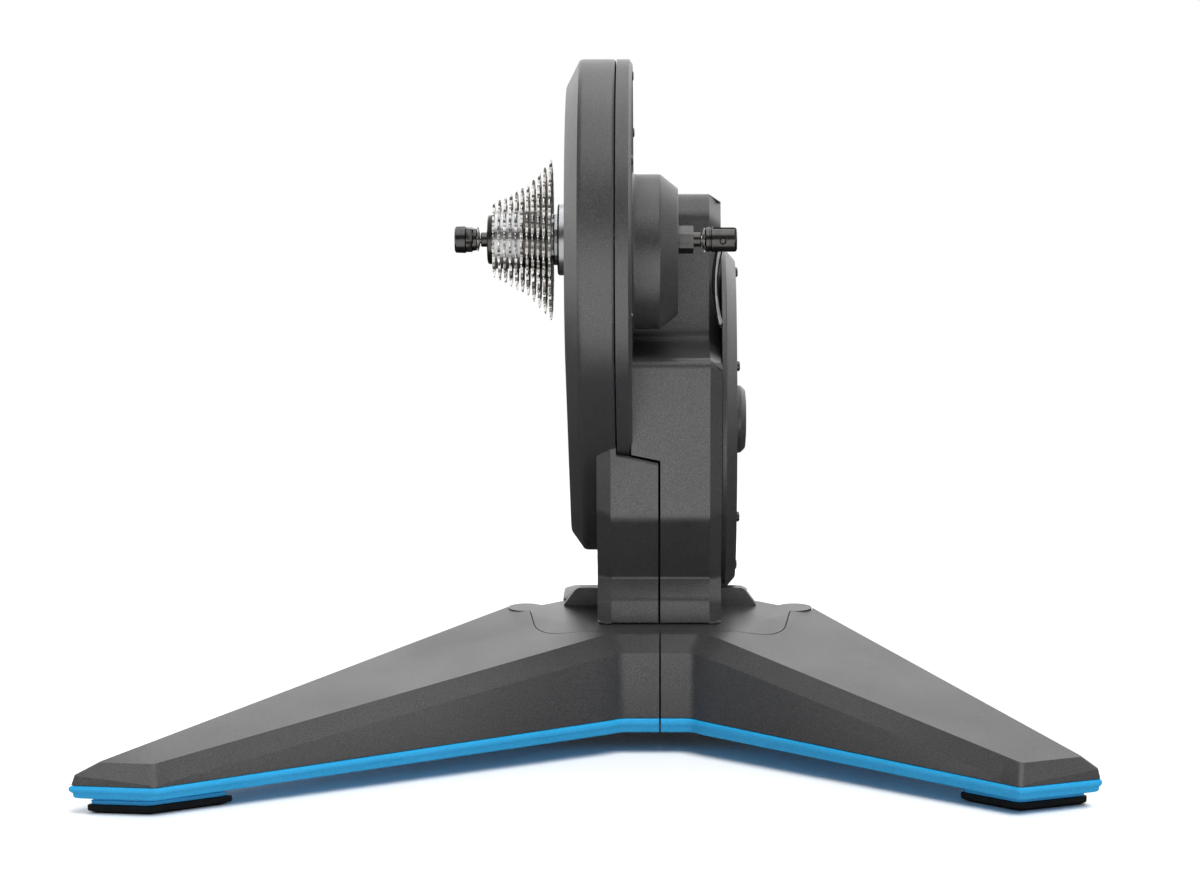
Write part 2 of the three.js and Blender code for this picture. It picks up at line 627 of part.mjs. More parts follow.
function lever() {
  const rings = [];
  for (let i = 0; i <= LEVER_STEPS; i++) {
    const share = i / LEVER_STEPS;
    const width = (LEVER_THICKNESS + (LEVER_TIP_WIDTH - LEVER_THICKNESS) * share) / 2;
    const depth = LEVER_HEAD_RADIUS / 2 + (LEVER_TIP_RADIUS - LEVER_HEAD_RADIUS / 2) * share;
    const bow = LEVER_X - LEVER_BOW * Math.sin(share * Math.PI);
    const down = -LEVER_LENGTH * share;
    rings.push([at(-width, -bow - depth, down), at(width, -bow - depth, down),
      at(width, depth - bow, down), at(-width, depth - bow, down)]);
  }
  const arm = loft(rings.reverse()).transform(turnDown());
  const head = new THREE.CylinderGeometry(
    LEVER_HEAD_RADIUS, LEVER_HEAD_RADIUS, LEVER_THICKNESS, NARROW_STEPS)
    .rotateZ(Math.PI / 2).translate(0, 0, LEVER_X);
  const hole = new THREE.CylinderGeometry(
    LEVER_PIN_RADIUS + GAP, LEVER_PIN_RADIUS + GAP, LEVER_PIN_LENGTH, NARROW_STEPS)
    .rotateZ(Math.PI / 2).translate(0, 0, LEVER_X);
  return arm.add(solid(head)).subtract(solid(hole));
}

// Turns a form that stands along Z, with its front towards -Y, into the side frame.
function turnDown() {
  return new THREE.Matrix4().makeBasis(at(1, 0, 0), at(0, 0, -1), at(0, 1, 0)).elements;
}

// Conical springs that centre the skewer

function springPoints() {
  const points = [];
  for (let i = 0; i <= SPRING_CURLS * SPRING_STEPS; i++) {
    const turns = i / SPRING_STEPS;
    const radius = SPRING_INNER_RADIUS + SPRING_CURL_PITCH * turns;
    const angle = turns * 2 * Math.PI;
    points.push(at(radius * Math.cos(angle), radius * Math.sin(angle), (SPRING_RISE * turns) / SPRING_CURLS));
  }
  return points;
}

function leastSpringGap(points) {
  let least = Infinity;
  for (let i = 0; i < points.length; i++) {
    for (let j = i + SPRING_STEPS / 2; j < points.length; j++) {
      least = Math.min(least, points[i].distanceTo(points[j]) - 2 * SPRING_WIRE_RADIUS);
    }
  }
  return least;
}

function spring(name, seat, outward) {
  const points = springPoints();
  const rings = points.map((point, i) => {
    const before = points[Math.max(i - 1, 0)];
    const after = points[Math.min(i + 1, points.length - 1)];
    const along = after.clone().sub(before).normalize();
    const out = at(point.x, point.y).normalize();
    const up = out.clone().cross(along).normalize();
    const ring = [];
    for (let k = 0; k < SPRING_SIDES; k++) {
      const angle = (-k / SPRING_SIDES) * 2 * Math.PI;
      const offset = out.clone().multiplyScalar(Math.cos(angle) * SPRING_WIRE_RADIUS)
        .addScaledVector(up, Math.sin(angle) * SPRING_WIRE_RADIUS);
      ring.push(point.clone().add(offset));
    }
    return ring;
  });
  const fan = [];
  for (let k = 1; k < SPRING_SIDES - 1; k++) fan.push([0, k, k + 1]);
  const made = skin(rings, [fan, fan]).transform(
    new THREE.Matrix4().makeBasis(at(1, 0, 0), at(0, outward, 0), at(0, 0, outward)).elements);
  add(axleLine, name, moved(made, 0, 0, seat + outward * (SPRING_WIRE_RADIUS + GAP)), STEEL);
  console.log(name + ": least gap between curls " + leastSpringGap(points).toFixed(2) + " mm");
}

// Freehub and cassette

function freehub() {
  const outline = [];
  for (let i = 0; i < SPLINES * SPLINE_POINTS; i++) {
    const raised = i % SPLINE_POINTS < SPLINE_POINTS / 2;
    const radius = raised ? FREEHUB_RADIUS : FREEHUB_RADIUS - SPLINE_DEPTH;
    const angle = (i / (SPLINES * SPLINE_POINTS)) * 2 * Math.PI;
    outline.push([radius * Math.cos(angle), radius * Math.sin(angle)]);
  }
  const body = prism(outline, FREEHUB_OUTER + LOCKRING_LENGTH / 2, FREEHUB_INNER)
    .subtract(rod(FREEHUB_OUTER, FREEHUB_INNER + OVERRUN, FREEHUB_BORE));
  add(axleLine, "freehub_body", body, ALUMINIUM);
}

function sprocket(teeth, number) {
  const pitchRadius = CHAIN_PITCH / 2 / Math.sin(Math.PI / teeth);
  const tip = pitchRadius + CHAIN_PITCH * TOOTH_TIP_SHARE;
  const root = pitchRadius - CHAIN_PITCH * TOOTH_ROOT_SHARE;
  const shape = new THREE.Shape();
  for (let i = 0; i < teeth; i++) {
    const steps = [[-TOOTH_ROOT_WIDTH_SHARE, root], [-TOOTH_TIP_WIDTH_SHARE, tip],
      [TOOTH_TIP_WIDTH_SHARE, tip], [TOOTH_ROOT_WIDTH_SHARE, root]];
    steps.forEach(([share, radius], k) => {
      const angle = ((i + share) / teeth) * 2 * Math.PI;
      const method = i + k === 0 ? "moveTo" : "lineTo";
      shape[method](radius * Math.cos(angle), radius * Math.sin(angle));
    });
  }
  const plate = solid(new THREE.ExtrudeGeometry(shape, { depth: SPROCKET_THICKNESS, bevelEnabled: false }));
  const spacer = rod(SPROCKET_THICKNESS / 2, SPROCKET_PITCH - GAP, SPACER_RADIUS);
  const bore = rod(-OVERRUN, SPROCKET_PITCH + OVERRUN, FREEHUB_RADIUS + GAP);
  const last = number === SPROCKET_TEETH.length - 1;
  const made = (last ? plate : plate.add(spacer)).subtract(bore);
  const name = "sprocket_" + String(number + 1).padStart(2, "0");
  add(axleLine, name, moved(made, 0, 0, FIRST_SPROCKET_X + number * SPROCKET_PITCH), STEEL);
}

function lockring() {
  const inner = FIRST_SPROCKET_X - GAP;
  const made = tube(inner - LOCKRING_LENGTH, inner, DRIVE_END_RADIUS + 2 * GAP, LOCKRING_RADIUS)
    .subtract(rod(FREEHUB_OUTER + LOCKRING_LENGTH / 2 - GAP, inner + OVERRUN, FREEHUB_RADIUS + GAP));
  add(axleLine, "cassette_lockring", made, BLACK_STEEL);
}

function freehubBearings() {
  [0, FREEHUB_BEARING_SPACING].forEach((spacing, i) => {
    const x = FREEHUB_OUTER + FREEHUB_BEARING_SETBACK + spacing;
    const made = tube(x, x + BEARING_WIDTH, AXLE_RADIUS + GAP, FREEHUB_BORE - GAP);
    add(axleLine, "freehub_bearing_" + (i + 1), made, STEEL);
  });
}

// Belt case: an outer cover and a back plate that carries the axle

// Two arcs and their common tangents, anticlockwise.
function teardrop(topRadius, lowRadius, steps = ARC_STEPS) {
  const drop = Math.hypot(FLYWHEEL_BACK, AXLE_HEIGHT - FLYWHEEL_HEIGHT);
  const line = Math.atan2(FLYWHEEL_HEIGHT - AXLE_HEIGHT, FLYWHEEL_BACK);
  const lean = Math.acos((topRadius - lowRadius) / drop);
  const points = [];
  for (let i = 0; i <= steps; i++) {
    const angle = line + lean + (i / steps) * 2 * (Math.PI - lean);
    points.push([topRadius * Math.cos(angle), AXLE_HEIGHT + topRadius * Math.sin(angle)]);
  }
  for (let i = 0; i <= steps; i++) {
    const angle = line - lean + (i / steps) * 2 * lean;
    points.push([FLYWHEEL_BACK + lowRadius * Math.cos(angle), FLYWHEEL_HEIGHT + lowRadius * Math.sin(angle)]);
  }
  return points;
}

const onAxle = (made) => moved(made, 0, AXLE_HEIGHT);
const onFlywheel = (made) => moved(made, FLYWHEEL_BACK, FLYWHEEL_HEIGHT);

function leftBodyCover() {
  const face = teardrop(COVER_TOP_RADIUS - COVER_TOP_CHAMFER, COVER_LOW_RADIUS - COVER_LOW_CHAMFER);
  const rim = teardrop(COVER_TOP_RADIUS, COVER_LOW_RADIUS);
  const outside = loft([level(face, COVER_FACE_X), level(rim, COVER_RIM_X), level(rim, COVER_SEAM_X)]);
  const insideFace = teardrop(COVER_TOP_RADIUS - COVER_TOP_CHAMFER - COVER_WALL,
    COVER_LOW_RADIUS - COVER_LOW_CHAMFER - COVER_WALL);
  const insideRim = teardrop(COVER_TOP_RADIUS - COVER_WALL, COVER_LOW_RADIUS - COVER_WALL);
  const inside = loft([level(insideFace, COVER_FACE_X + COVER_WALL),
    level(insideRim, COVER_RIM_X + COVER_WALL), level(insideRim, COVER_SEAM_X + OVERRUN)]);
  const hole = onAxle(rod(COVER_FACE_X - OVERRUN, COVER_RIM_X, COVER_HUB_HOLE));
  const plateRoom = prism(teardrop(COVER_TOP_RADIUS + GAP, COVER_LOW_RADIUS + GAP), COVER_SEAM_X,
    BACK_PLATE_X + GAP);
  const made = outside.add(leftUpperBlock()).add(leftLowerBlock(0)).subtract(inside).subtract(plateRoom)
    .subtract(hole);
  add(side, "left_body_cover", made, CHARCOAL);
}

function beltCaseBack() {
  const plate = prism(teardrop(COVER_TOP_RADIUS, COVER_LOW_RADIUS), BACK_PLATE_FRONT_X, BACK_PLATE_X);
  const step = COVER_WALL + GAP;
  const lip = prism(teardrop(COVER_TOP_RADIUS - step, COVER_LOW_RADIUS - step), BACK_PLATE_LIP_X,
    BACK_PLATE_FRONT_X + GAP);
  const room = step + BACK_PLATE_LIP_WALL;
  const hollow = prism(teardrop(COVER_TOP_RADIUS - room, COVER_LOW_RADIUS - room), BACK_PLATE_LIP_X - OVERRUN,
    BACK_PLATE_FRONT_X);
  const axleHole = onAxle(rod(BACK_PLATE_LIP_X, BACK_PLATE_X + OVERRUN, AXLE_RADIUS + GAP));
  const shaftHole = onFlywheel(rod(BACK_PLATE_LIP_X, BACK_PLATE_X + OVERRUN, SHAFT_RADIUS + 2 * GAP));
  const armHole = moved(rod(BACK_PLATE_LIP_X, BACK_PLATE_X + OVERRUN, IDLER_PIVOT_RADIUS + GAP),
    IDLER_PIVOT_BACK, IDLER_PIVOT_HEIGHT);
  const made = plate.add(lip.subtract(hollow)).subtract(axleHole).subtract(shaftHole).subtract(armHole);
  add(side, "belt_case_back", made, CHARCOAL);
}

// Pulleys, belt and idler

function drivePulley() {
  const end = PULLEY_X + PULLEY_WIDTH;
  const bore = PULLEY_HUB_FLANGE_RADIUS - PULLEY_HUB_FLANGE * 2;
  const web = PULLEY_X + (PULLEY_WIDTH - PULLEY_WEB) / 2;
  const made = turned([[web, bore], [web, PULLEY_RADIUS - PULLEY_RIM], [PULLEY_X, PULLEY_RADIUS - PULLEY_RIM],
    [PULLEY_X, PULLEY_RADIUS], [end, PULLEY_RADIUS], [end, PULLEY_RADIUS - PULLEY_RIM],
    [web + PULLEY_WEB, PULLEY_RADIUS - PULLEY_RIM], [web + PULLEY_WEB, bore], [web, bore]]);
  add(axleLine, "drive_pulley", made, ALUMINIUM);
}

function pulleyHub() {
  const web = PULLEY_X + (PULLEY_WIDTH + PULLEY_WEB) / 2;
  const end = PULLEY_X + PULLEY_WIDTH;
  const made = turned([[PULLEY_HUB_OUTER, HUB_BEARING_RADIUS + GAP], [PULLEY_HUB_OUTER, PULLEY_HUB_RADIUS],
    [web + GAP, PULLEY_HUB_RADIUS], [web + GAP, PULLEY_HUB_FLANGE_RADIUS],
    [web + GAP + PULLEY_HUB_FLANGE, PULLEY_HUB_FLANGE_RADIUS], [end, HUB_BEARING_RADIUS + PULLEY_HUB_FLANGE],
    [end, HUB_BEARING_RADIUS + GAP], [PULLEY_HUB_OUTER, HUB_BEARING_RADIUS + GAP]]);
  add(axleLine, "pulley_hub", made, ALUMINIUM);
  const bearings = [PULLEY_HUB_OUTER + GAP, end - BEARING_WIDTH];
  bearings.forEach((x, i) => {
    const bearing = tube(x, x + BEARING_WIDTH, AXLE_RADIUS + GAP, HUB_BEARING_RADIUS);
    add(axleLine, "hub_bearing_" + (i + 1), bearing, STEEL);
  });
}

// Anticlockwise run of the belt round both pulleys, a distance outside their faces.
function beltRun(outside) {
  return teardrop(PULLEY_RADIUS + outside, SMALL_PULLEY_RADIUS + outside, BELT_STEPS);
}

function belt() {
  const outer = prism(beltRun(GAP + BELT_THICKNESS), PULLEY_X + GAP, PULLEY_X + PULLEY_WIDTH - GAP);
  const inner = prism(beltRun(GAP), PULLEY_X - OVERRUN, PULLEY_X + PULLEY_WIDTH + OVERRUN);
  add(side, "poly_v_belt", outer.subtract(inner), RUBBER);
}

// The idler bears on the outside of the lower run, at a share of the way to the small pulley.
const runDrop = Math.hypot(FLYWHEEL_BACK, AXLE_HEIGHT - FLYWHEEL_HEIGHT);
const runLine = Math.atan2(FLYWHEEL_HEIGHT - AXLE_HEIGHT, FLYWHEEL_BACK);
const runLean = Math.acos((PULLEY_RADIUS - SMALL_PULLEY_RADIUS) / runDrop);
const runNormal = runLine - runLean;
const idlerReach = BELT_THICKNESS + 2 * GAP + IDLER_RADIUS;
const idlerAlong = Math.sqrt(runDrop ** 2 - (PULLEY_RADIUS - SMALL_PULLEY_RADIUS) ** 2) * (1 - IDLER_SHARE);
const IDLER_BACK = (PULLEY_RADIUS + idlerReach) * Math.cos(runNormal) - Math.sin(runNormal) * idlerAlong;
const IDLER_HEIGHT = AXLE_HEIGHT + (PULLEY_RADIUS + idlerReach) * Math.sin(runNormal)
  + Math.cos(runNormal) * idlerAlong;
const IDLER_PIVOT_BACK = IDLER_BACK - Math.sin(runNormal) * IDLER_ARM_LENGTH;
const IDLER_PIVOT_HEIGHT = IDLER_HEIGHT + Math.cos(runNormal) * IDLER_ARM_LENGTH;

function idler() {
  const end = PULLEY_X + PULLEY_WIDTH;
  const wheel = tube(PULLEY_X, end, IDLER_BORE + GAP, IDLER_RADIUS);
  add(side, "idler_pulley", moved(wheel, IDLER_BACK, IDLER_HEIGHT), STEEL);
  const armX = end + GAP;
  const arm = roundEndedBar(IDLER_ARM_LENGTH, IDLER_ARM_WIDTH / 2, armX, armX + IDLER_ARM_THICKNESS)
    .rotate([0, 0, THREE.MathUtils.radToDeg(runNormal + Math.PI / 2)])
    .translate([IDLER_BACK, IDLER_HEIGHT, 0])
    .add(moved(rod(PULLEY_X, armX + GAP, IDLER_BORE), IDLER_BACK, IDLER_HEIGHT))
    .add(moved(rod(armX, BACK_PLATE_X - GAP, IDLER_PIVOT_RADIUS), IDLER_PIVOT_BACK, IDLER_PIVOT_HEIGHT));
  add(side, "idler_arm", arm, IRON);
}

function roundEndedBar(length, radius, from, to) {
  const shape = new THREE.Shape();
  shape.absarc(length, 0, radius, -Math.PI / 2, Math.PI / 2, false);
  shape.absarc(0, 0, radius, Math.PI / 2, -Math.PI / 2, false);
  const settings = { depth: to - from, bevelEnabled: false, curveSegments: NARROW_STEPS / 2 };
  return moved(solid(new THREE.ExtrudeGeometry(shape, settings)), 0, 0, from);
}

// Flywheel, its shaft, bearings, small pulley and brake

function flywheel() {
  const shaft = rod(SHAFT_START, SHAFT_END, SHAFT_RADIUS)
    .add(rod(PULLEY_X, PULLEY_X + PULLEY_WIDTH, SMALL_PULLEY_RADIUS));
  add(flywheelLine, "flywheel_shaft", shaft, STEEL);
  const wheel = tube(FLYWHEEL_X, FLYWHEEL_X + FLYWHEEL_WIDTH, SHAFT_RADIUS + GAP, FLYWHEEL_RADIUS);
  add(flywheelLine, "flywheel", wheel, IRON);
  [INNER_BEARING_X, OUTER_BEARING_X].forEach((x, i) => {
    const bearing = tube(x, x + FLYWHEEL_BEARING_WIDTH, SHAFT_RADIUS + GAP, SHAFT_BEARING_RADIUS);
    add(flywheelLine, "shaft_bearing_" + (i + 1), bearing, STEEL);
  });
}

function brakeStator() {
  let star = rod(DRUM_X + GAP, DRUM_X + GAP + STATOR_WIDTH, STATOR_HUB_RADIUS);
  for (let i = 0; i < STATOR_POLES; i++) {
    const pole = new THREE.BoxGeometry(STATOR_RADIUS, POLE_WIDTH, STATOR_WIDTH)
      .translate(STATOR_RADIUS / 2, 0, DRUM_X + GAP + STATOR_WIDTH / 2)
      .rotateZ((i / STATOR_POLES) * 2 * Math.PI);
    star = star.add(solid(pole));
  }
  const hole = rod(DRUM_X - OVERRUN, DRUM_X + STATOR_WIDTH + OVERRUN,
    SHAFT_BEARING_RADIUS + STATOR_CLEARANCE);
  add(flywheelLine, "brake_stator", star.subtract(hole), COPPER);
}

// Body outline, seen from the side: tower face, ledge, upper tower and flywheel housing

function bodyOutline() {
  const start = -Math.acos((BODY_FOOT_BACK - FLYWHEEL_BACK) / HOUSING_RADIUS);
  const [crestBack, crestUp] = [UPPER_FRONT + UPPER_CREST - FLYWHEEL_BACK, UPPER_TOP - FLYWHEEL_HEIGHT];
  const end = Math.atan2(crestUp, crestBack) - Math.acos(HOUSING_RADIUS / Math.hypot(crestUp, crestBack));
  const points = [[FOOT_FACE, BODY_BOTTOM], [BODY_FOOT_BACK, BODY_BOTTOM]];
  for (let i = 0; i <= HOUSING_ARC_STEPS; i++) {
    const angle = start + ((end - start) * i) / HOUSING_ARC_STEPS;
    points.push([FLYWHEEL_BACK + HOUSING_RADIUS * Math.cos(angle),
      FLYWHEEL_HEIGHT + HOUSING_RADIUS * Math.sin(angle)]);
  }
  points.push([UPPER_FRONT + UPPER_CREST, UPPER_TOP], [UPPER_FRONT + UPPER_BEVEL, UPPER_TOP],
    [UPPER_FRONT, UPPER_TOP - UPPER_BEVEL], [UPPER_FRONT, LEDGE_HEIGHT],
    [TOWER_FACE + LEDGE_BEVEL, LEDGE_HEIGHT], [TOWER_FACE, LEDGE_HEIGHT - LEDGE_BEVEL],
    [TOWER_FACE, TOWER_KNEE_HEIGHT], [TOWER_ANKLE_BACK, TOWER_ANKLE_HEIGHT], [FOOT_FACE, FOOT_HEIGHT]);
  return points;
}

// Board room in the upper tower, closed by the back plate of the belt case

const boardRoom = (margin) =>
  inset(rectangle(BOARD_ROOM_FRONT, BOARD_ROOM_BOTTOM, BOARD_ROOM_BACK, BOARD_ROOM_TOP), margin);

function towerRightShell() {
  const outline = bodyOutline();
  const block = loft([level(outline, BODY_LEFT_X), level(outline, BODY_BEVEL_X),
    level(bevelOf(outline, BODY_BEVEL), BODY_RIGHT_X)]);
  const drum = onFlywheel(rod(DRUM_X, BODY_RIGHT_X + OVERRUN, DRUM_RADIUS));
  const shaft = onFlywheel(rod(BODY_LEFT_X - OVERRUN, DRUM_X + OVERRUN, SHAFT_RADIUS + 2 * GAP));
  const seat = onFlywheel(rod(INNER_BEARING_X - GAP, DRUM_X + OVERRUN, SHAFT_BEARING_RADIUS + GAP));
  const room = prism(boardRoom(0), BODY_LEFT_X - OVERRUN, BOARD_X + BOARD_THICKNESS + GAP)
    .add(prism(boardRoom(BOARD_SHELF), BODY_LEFT_X - OVERRUN, BOARD_ROOM_END));
  const made = block.subtract(drum).subtract(shaft).subtract(seat).subtract(room)
    .subtract(leftLowerBlock(SEAM_GAP));
  add(side, "tower_right_shell", made, CHARCOAL);
}

function circuitBoard() {
  const plate = prism(boardRoom(GAP), BOARD_X, BOARD_X + BOARD_THICKNESS);
  const chip = new THREE.BoxGeometry(CHIP_SIZE, CHIP_SIZE, CHIP_HEIGHT + BOARD_THICKNESS).translate(
    (BOARD_ROOM_FRONT + BOARD_ROOM_BACK) / 2, (BOARD_ROOM_BOTTOM + BOARD_ROOM_TOP) / 2,
    BOARD_X - CHIP_HEIGHT / 2 + BOARD_THICKNESS / 2);
  add(side, "circuit_board", plate.add(solid(chip)), BOARD_GREEN);
}

// Left half of the tower, moulded with the belt cover

function leftOutline(top) {
  return [[FOOT_FACE, BODY_BOTTOM], [LEFT_FOOT_BACK, BODY_BOTTOM], [LEFT_FOOT_BACK, LEFT_HEEL_HEIGHT],
    [LEFT_BACK, LEFT_KNEE_HEIGHT], [LEFT_BACK, top], [TOWER_FACE, top], [TOWER_FACE, TOWER_KNEE_HEIGHT],
    [TOWER_ANKLE_BACK, TOWER_ANKLE_HEIGHT], [FOOT_FACE, FOOT_HEIGHT]];
}

// An outline with every side but its first, the foot, moved inwards.
const bevelOf = (outline, bevel) => insetSides(outline, outline.map((point, i) => (i === 0 ? 0 : bevel)));

function leftUpperBlock() {
  const outline = leftOutline(LEFT_UPPER_TOP);
  return loft([level(bevelOf(outline, LEFT_BEVEL), LEFT_X), level(outline, LEFT_BEVEL_X),
    level(outline, COVER_SEAM_X)]);
}

// The part of the left half beyond the belt cover's seam, or the room for it.
function leftLowerBlock(margin) {
  const room = (top) => inset(leftOutline(top), -margin);
  return loft([level(room(LEFT_TOP), LEFT_BEVEL_X), level(room(LEFT_TOP - LEFT_TOP_FALL),
    SEAM_X - SEAM_GAP / 2 + margin)]);
}

// Boss over the far end of the axle

function axleBoss() {
  const body = turned([[BODY_LEFT_X, 0], [BODY_LEFT_X, BOSS_RADIUS], [BOSS_BEVEL_X, BOSS_RADIUS],
    [BOSS_FACE_X, BOSS_FACE_RADIUS], [BOSS_FACE_X, 0]]);
  const hole = onAxle(rod(BODY_LEFT_X - OVERRUN, BOSS_FACE_X + OVERRUN, AXLE_RADIUS + GAP));
  add(side, "axle_boss", moved(body, 0, BOSS_HEIGHT).subtract(hole), CHARCOAL);
}

// Cover and cap over the flywheel

function flywheelCover() {
  const disc = turned([[COVER_DISC_X, 0], [COVER_DISC_X, HOUSING_RADIUS],
    [COVER_DISC_BEVEL_X, HOUSING_RADIUS], [COVER_DISC_FACE_X, COVER_DISC_FACE_RADIUS],
    [COVER_DISC_FACE_X, 0]]);
  const seat = rod(COVER_DISC_X - OVERRUN, OUTER_BEARING_X + FLYWHEEL_BEARING_WIDTH + GAP,
    SHAFT_BEARING_RADIUS + GAP);
  const spigot = rod(COVER_DISC_FACE_X - CAP_SPIGOT, COVER_DISC_FACE_X + OVERRUN, CAP_SPIGOT_RADIUS);
  add(flywheelLine, "flywheel_cover", disc.subtract(seat).subtract(spigot), CHARCOAL);
  const cap = turned([[COVER_DISC_FACE_X - CAP_SPIGOT + GAP, 0],
    [COVER_DISC_FACE_X - CAP_SPIGOT + GAP, CAP_SPIGOT_RADIUS - GAP],
    [COVER_DISC_FACE_X + GAP, CAP_SPIGOT_RADIUS - GAP], [COVER_DISC_FACE_X + GAP, CAP_RADIUS],
    [CAP_FACE_X, CAP_FACE_RADIUS], [CAP_DOME_X, 0]]);
  add(flywheelLine, "flywheel_cap", cap, CHARCOAL);
}

// Base saddle between the legs, and the beam that runs back from it

function saddleOutline(margin) {
  const half = [
    [SADDLE_WIDE_HALF - SADDLE_FRONT_INSET, SADDLE_FRONT], [SADDLE_WIDE_HALF, SADDLE_WIDE_FRONT],
    [PIVOT_HALF - SADDLE_SIDE_INSET, PIVOT_BACK],
    [PIVOT_HALF - SADDLE_REAR_INSET, PIVOT_BACK + SADDLE_REAR_REACH],
    [PIVOT_HALF - SADDLE_BULGE_INSET, SADDLE_BULGE],
  ];
  const right = half.map(([x, y]) => [SEAM_X + x, y]);
  const left = half.map(([x, y]) => [SEAM_X - x, y]).reverse();
  return inset([...right, ...left], -margin);
}

const pivots = [[SEAM_X - PIVOT_HALF, PIVOT_BACK], [SEAM_X + PIVOT_HALF, PIVOT_BACK]];

// The saddle's top rises in a ridge behind, with room for the tower's foot.
function saddleRidge() {
  const across = (lean) => rectangle(SEAM_X - RIDGE_HALF + lean, RIDGE_FRONT,
    SEAM_X + RIDGE_HALF - lean, RIDGE_BACK);
  const foot = prism(rectangle(BODY_LEFT_X - RIDGE_CLEARANCE, 0, BODY_RIGHT_X + RIDGE_CLEARANCE, BODY_FOOT_BACK),
    SADDLE_TOP, RIDGE_TOP + OVERRUN);
  return loft([level(across(0), SADDLE_TOP - OVERRUN), level(across(RIDGE_LEAN), RIDGE_TOP)]).subtract(foot);
}

// The room above the slope of a leg's top. The slope starts at a line from the leg's front corner to its heel.
function slopeRoom(leg) {
  const [[x, y], [heelX, heelY]] = [leg.frontCorner, leg.rearCorner];
  const length = Math.hypot(heelX - x, heelY - y);
  const [alongX, alongY] = [(heelX - x) / length, (heelY - y) / length];
  const reach = (leg.tipOuter[0] - x) * alongY - (leg.tipOuter[1] - y) * alongX;
  const fallShare = (SADDLE_TOP - LEG_TOP_TIP) / reach;
  const ring = (rise) => {
    const corners = [[-SLOPE_OVERRUN, 0], [-SLOPE_OVERRUN, SLOPE_REACH],
      [length + SLOPE_OVERRUN, SLOPE_REACH], [length + SLOPE_OVERRUN, 0]];
    const places = corners.map(([along, out]) => at(
      SEAM_X + leg.sign * (x + alongX * along + alongY * out),
      y + alongY * along - alongX * out,
      rise || SADDLE_TOP - fallShare * out));
    return leg.sign > 0 ? places : places.reverse();
  };
  return loft([ring(0), ring(RIDGE_TOP)]);
}

function baseSaddle() {
  let made = prism(saddleOutline(0), SADDLE_BASE, SADDLE_TOP).add(saddleRidge())
    .subtract(slopeRoom(LEFT_LEG)).subtract(slopeRoom(RIGHT_LEG));
  for (const [x, y] of pivots) {
    made = made.add(moved(rod(SADDLE_BASE, EAR_BOTTOM - GAP, EAR_RADIUS), x, y))
      .add(moved(rod(EAR_TOP + GAP, SADDLE_TOP, EAR_RADIUS), x, y));
  }
  for (const [x, y] of pivots) {
    const room = rod(EAR_BOTTOM - GAP, EAR_TOP + GAP, KNUCKLE_RADIUS + KNUCKLE_ROOM);
    const bore = rod(SADDLE_BASE - OVERRUN, SADDLE_TOP + OVERRUN, PIN_RADIUS + GAP);
    made = made.subtract(moved(room, x, y)).subtract(moved(bore, x, y));
  }
  add(trainer, "base_saddle", made, CHARCOAL);
}

function pivotPin(name, [x, y]) {
  const made = rod(SADDLE_BASE - PIN_HEAD, SADDLE_TOP - GAP, PIN_RADIUS)
    .add(rod(SADDLE_BASE - GAP - PIN_HEAD, SADDLE_BASE - GAP, PIN_HEAD_RADIUS));
  add(trainer, name, moved(made, x, y), STEEL);
}

// Rear beam with a cross bar, its blue tray and two rubber pads

function rearBeam() {
  const outer = rectangle(BEAM_LEFT, BEAM_START, BEAM_RIGHT, BEAM_END);
  const upper = rectangle(BEAM_LEFT + BEAM_BEVEL, BEAM_START, BEAM_RIGHT - BEAM_BEVEL, BEAM_END);
  const fall = (outline, body, end) =>
    outline.map(([x, y], i) => at(x, y, i < outline.length / 2 ? body : end));
  const spine = loft([level(outer, BEAM_BOTTOM),
    fall(outer, BEAM_TOP - BEAM_BEVEL, BEAM_END_TOP - BEAM_END_BEVEL), fall(upper, BEAM_TOP, BEAM_END_TOP)]);
  const bar = rectangle(REAR_BAR_LEFT, REAR_BAR_FRONT, REAR_BAR_RIGHT, REAR_BAR_BACK);
  const cross = loft([level(bar, REAR_TRIM_TOP + GAP), level(bar, REAR_BAR_TOP - REAR_BAR_BEVEL / 2),
    level(inset(bar, REAR_BAR_BEVEL), REAR_BAR_TOP)]);
  add(trainer, "rear_beam", spine.add(cross), CHARCOAL);
}

function rearTray() {
  const bar = rectangle(REAR_BAR_LEFT, REAR_BAR_FRONT, REAR_BAR_RIGHT, REAR_BAR_BACK);
  const tray = loft([level(inset(bar, TRIM_UNDERCUT), FOOT_PAD + GAP),
    level(inset(bar, -TRIM_OUT), REAR_TRIM_TOP)]);
  add(trainer, "rear_tray", tray, BLUE);
  const inner = 2 * TRIM_UNDERCUT;
  const pads = [["rear_pad_left", REAR_BAR_LEFT + inner, REAR_BAR_LEFT + inner + REAR_PAD_LENGTH],
    ["rear_pad_right", REAR_BAR_RIGHT - inner - REAR_PAD_LENGTH, REAR_BAR_RIGHT - inner]];
  for (const [name, left, right] of pads) {
    const outline = rectangle(left, REAR_BAR_FRONT + inner, right, REAR_BAR_BACK - inner);
    add(trainer, name, prism(outline, 0, FOOT_PAD), RUBBER);
  }
}

// Legs: each has a shell, a pan below it, a beam on the pivot and a rubber foot

// Points from the seam outwards, anticlockwise for the right leg
function legPoints(leg) {
  return [[0, LEG_BACK], [0, NOSE_TOP_FRONT], [leg.noseHalf, NOSE_TOP_FRONT], leg.frontCorner,
    leg.tipFront, leg.tipOuter, leg.rearCorner, [SADDLE_WIDE_HALF, LEG_BACK]];
}

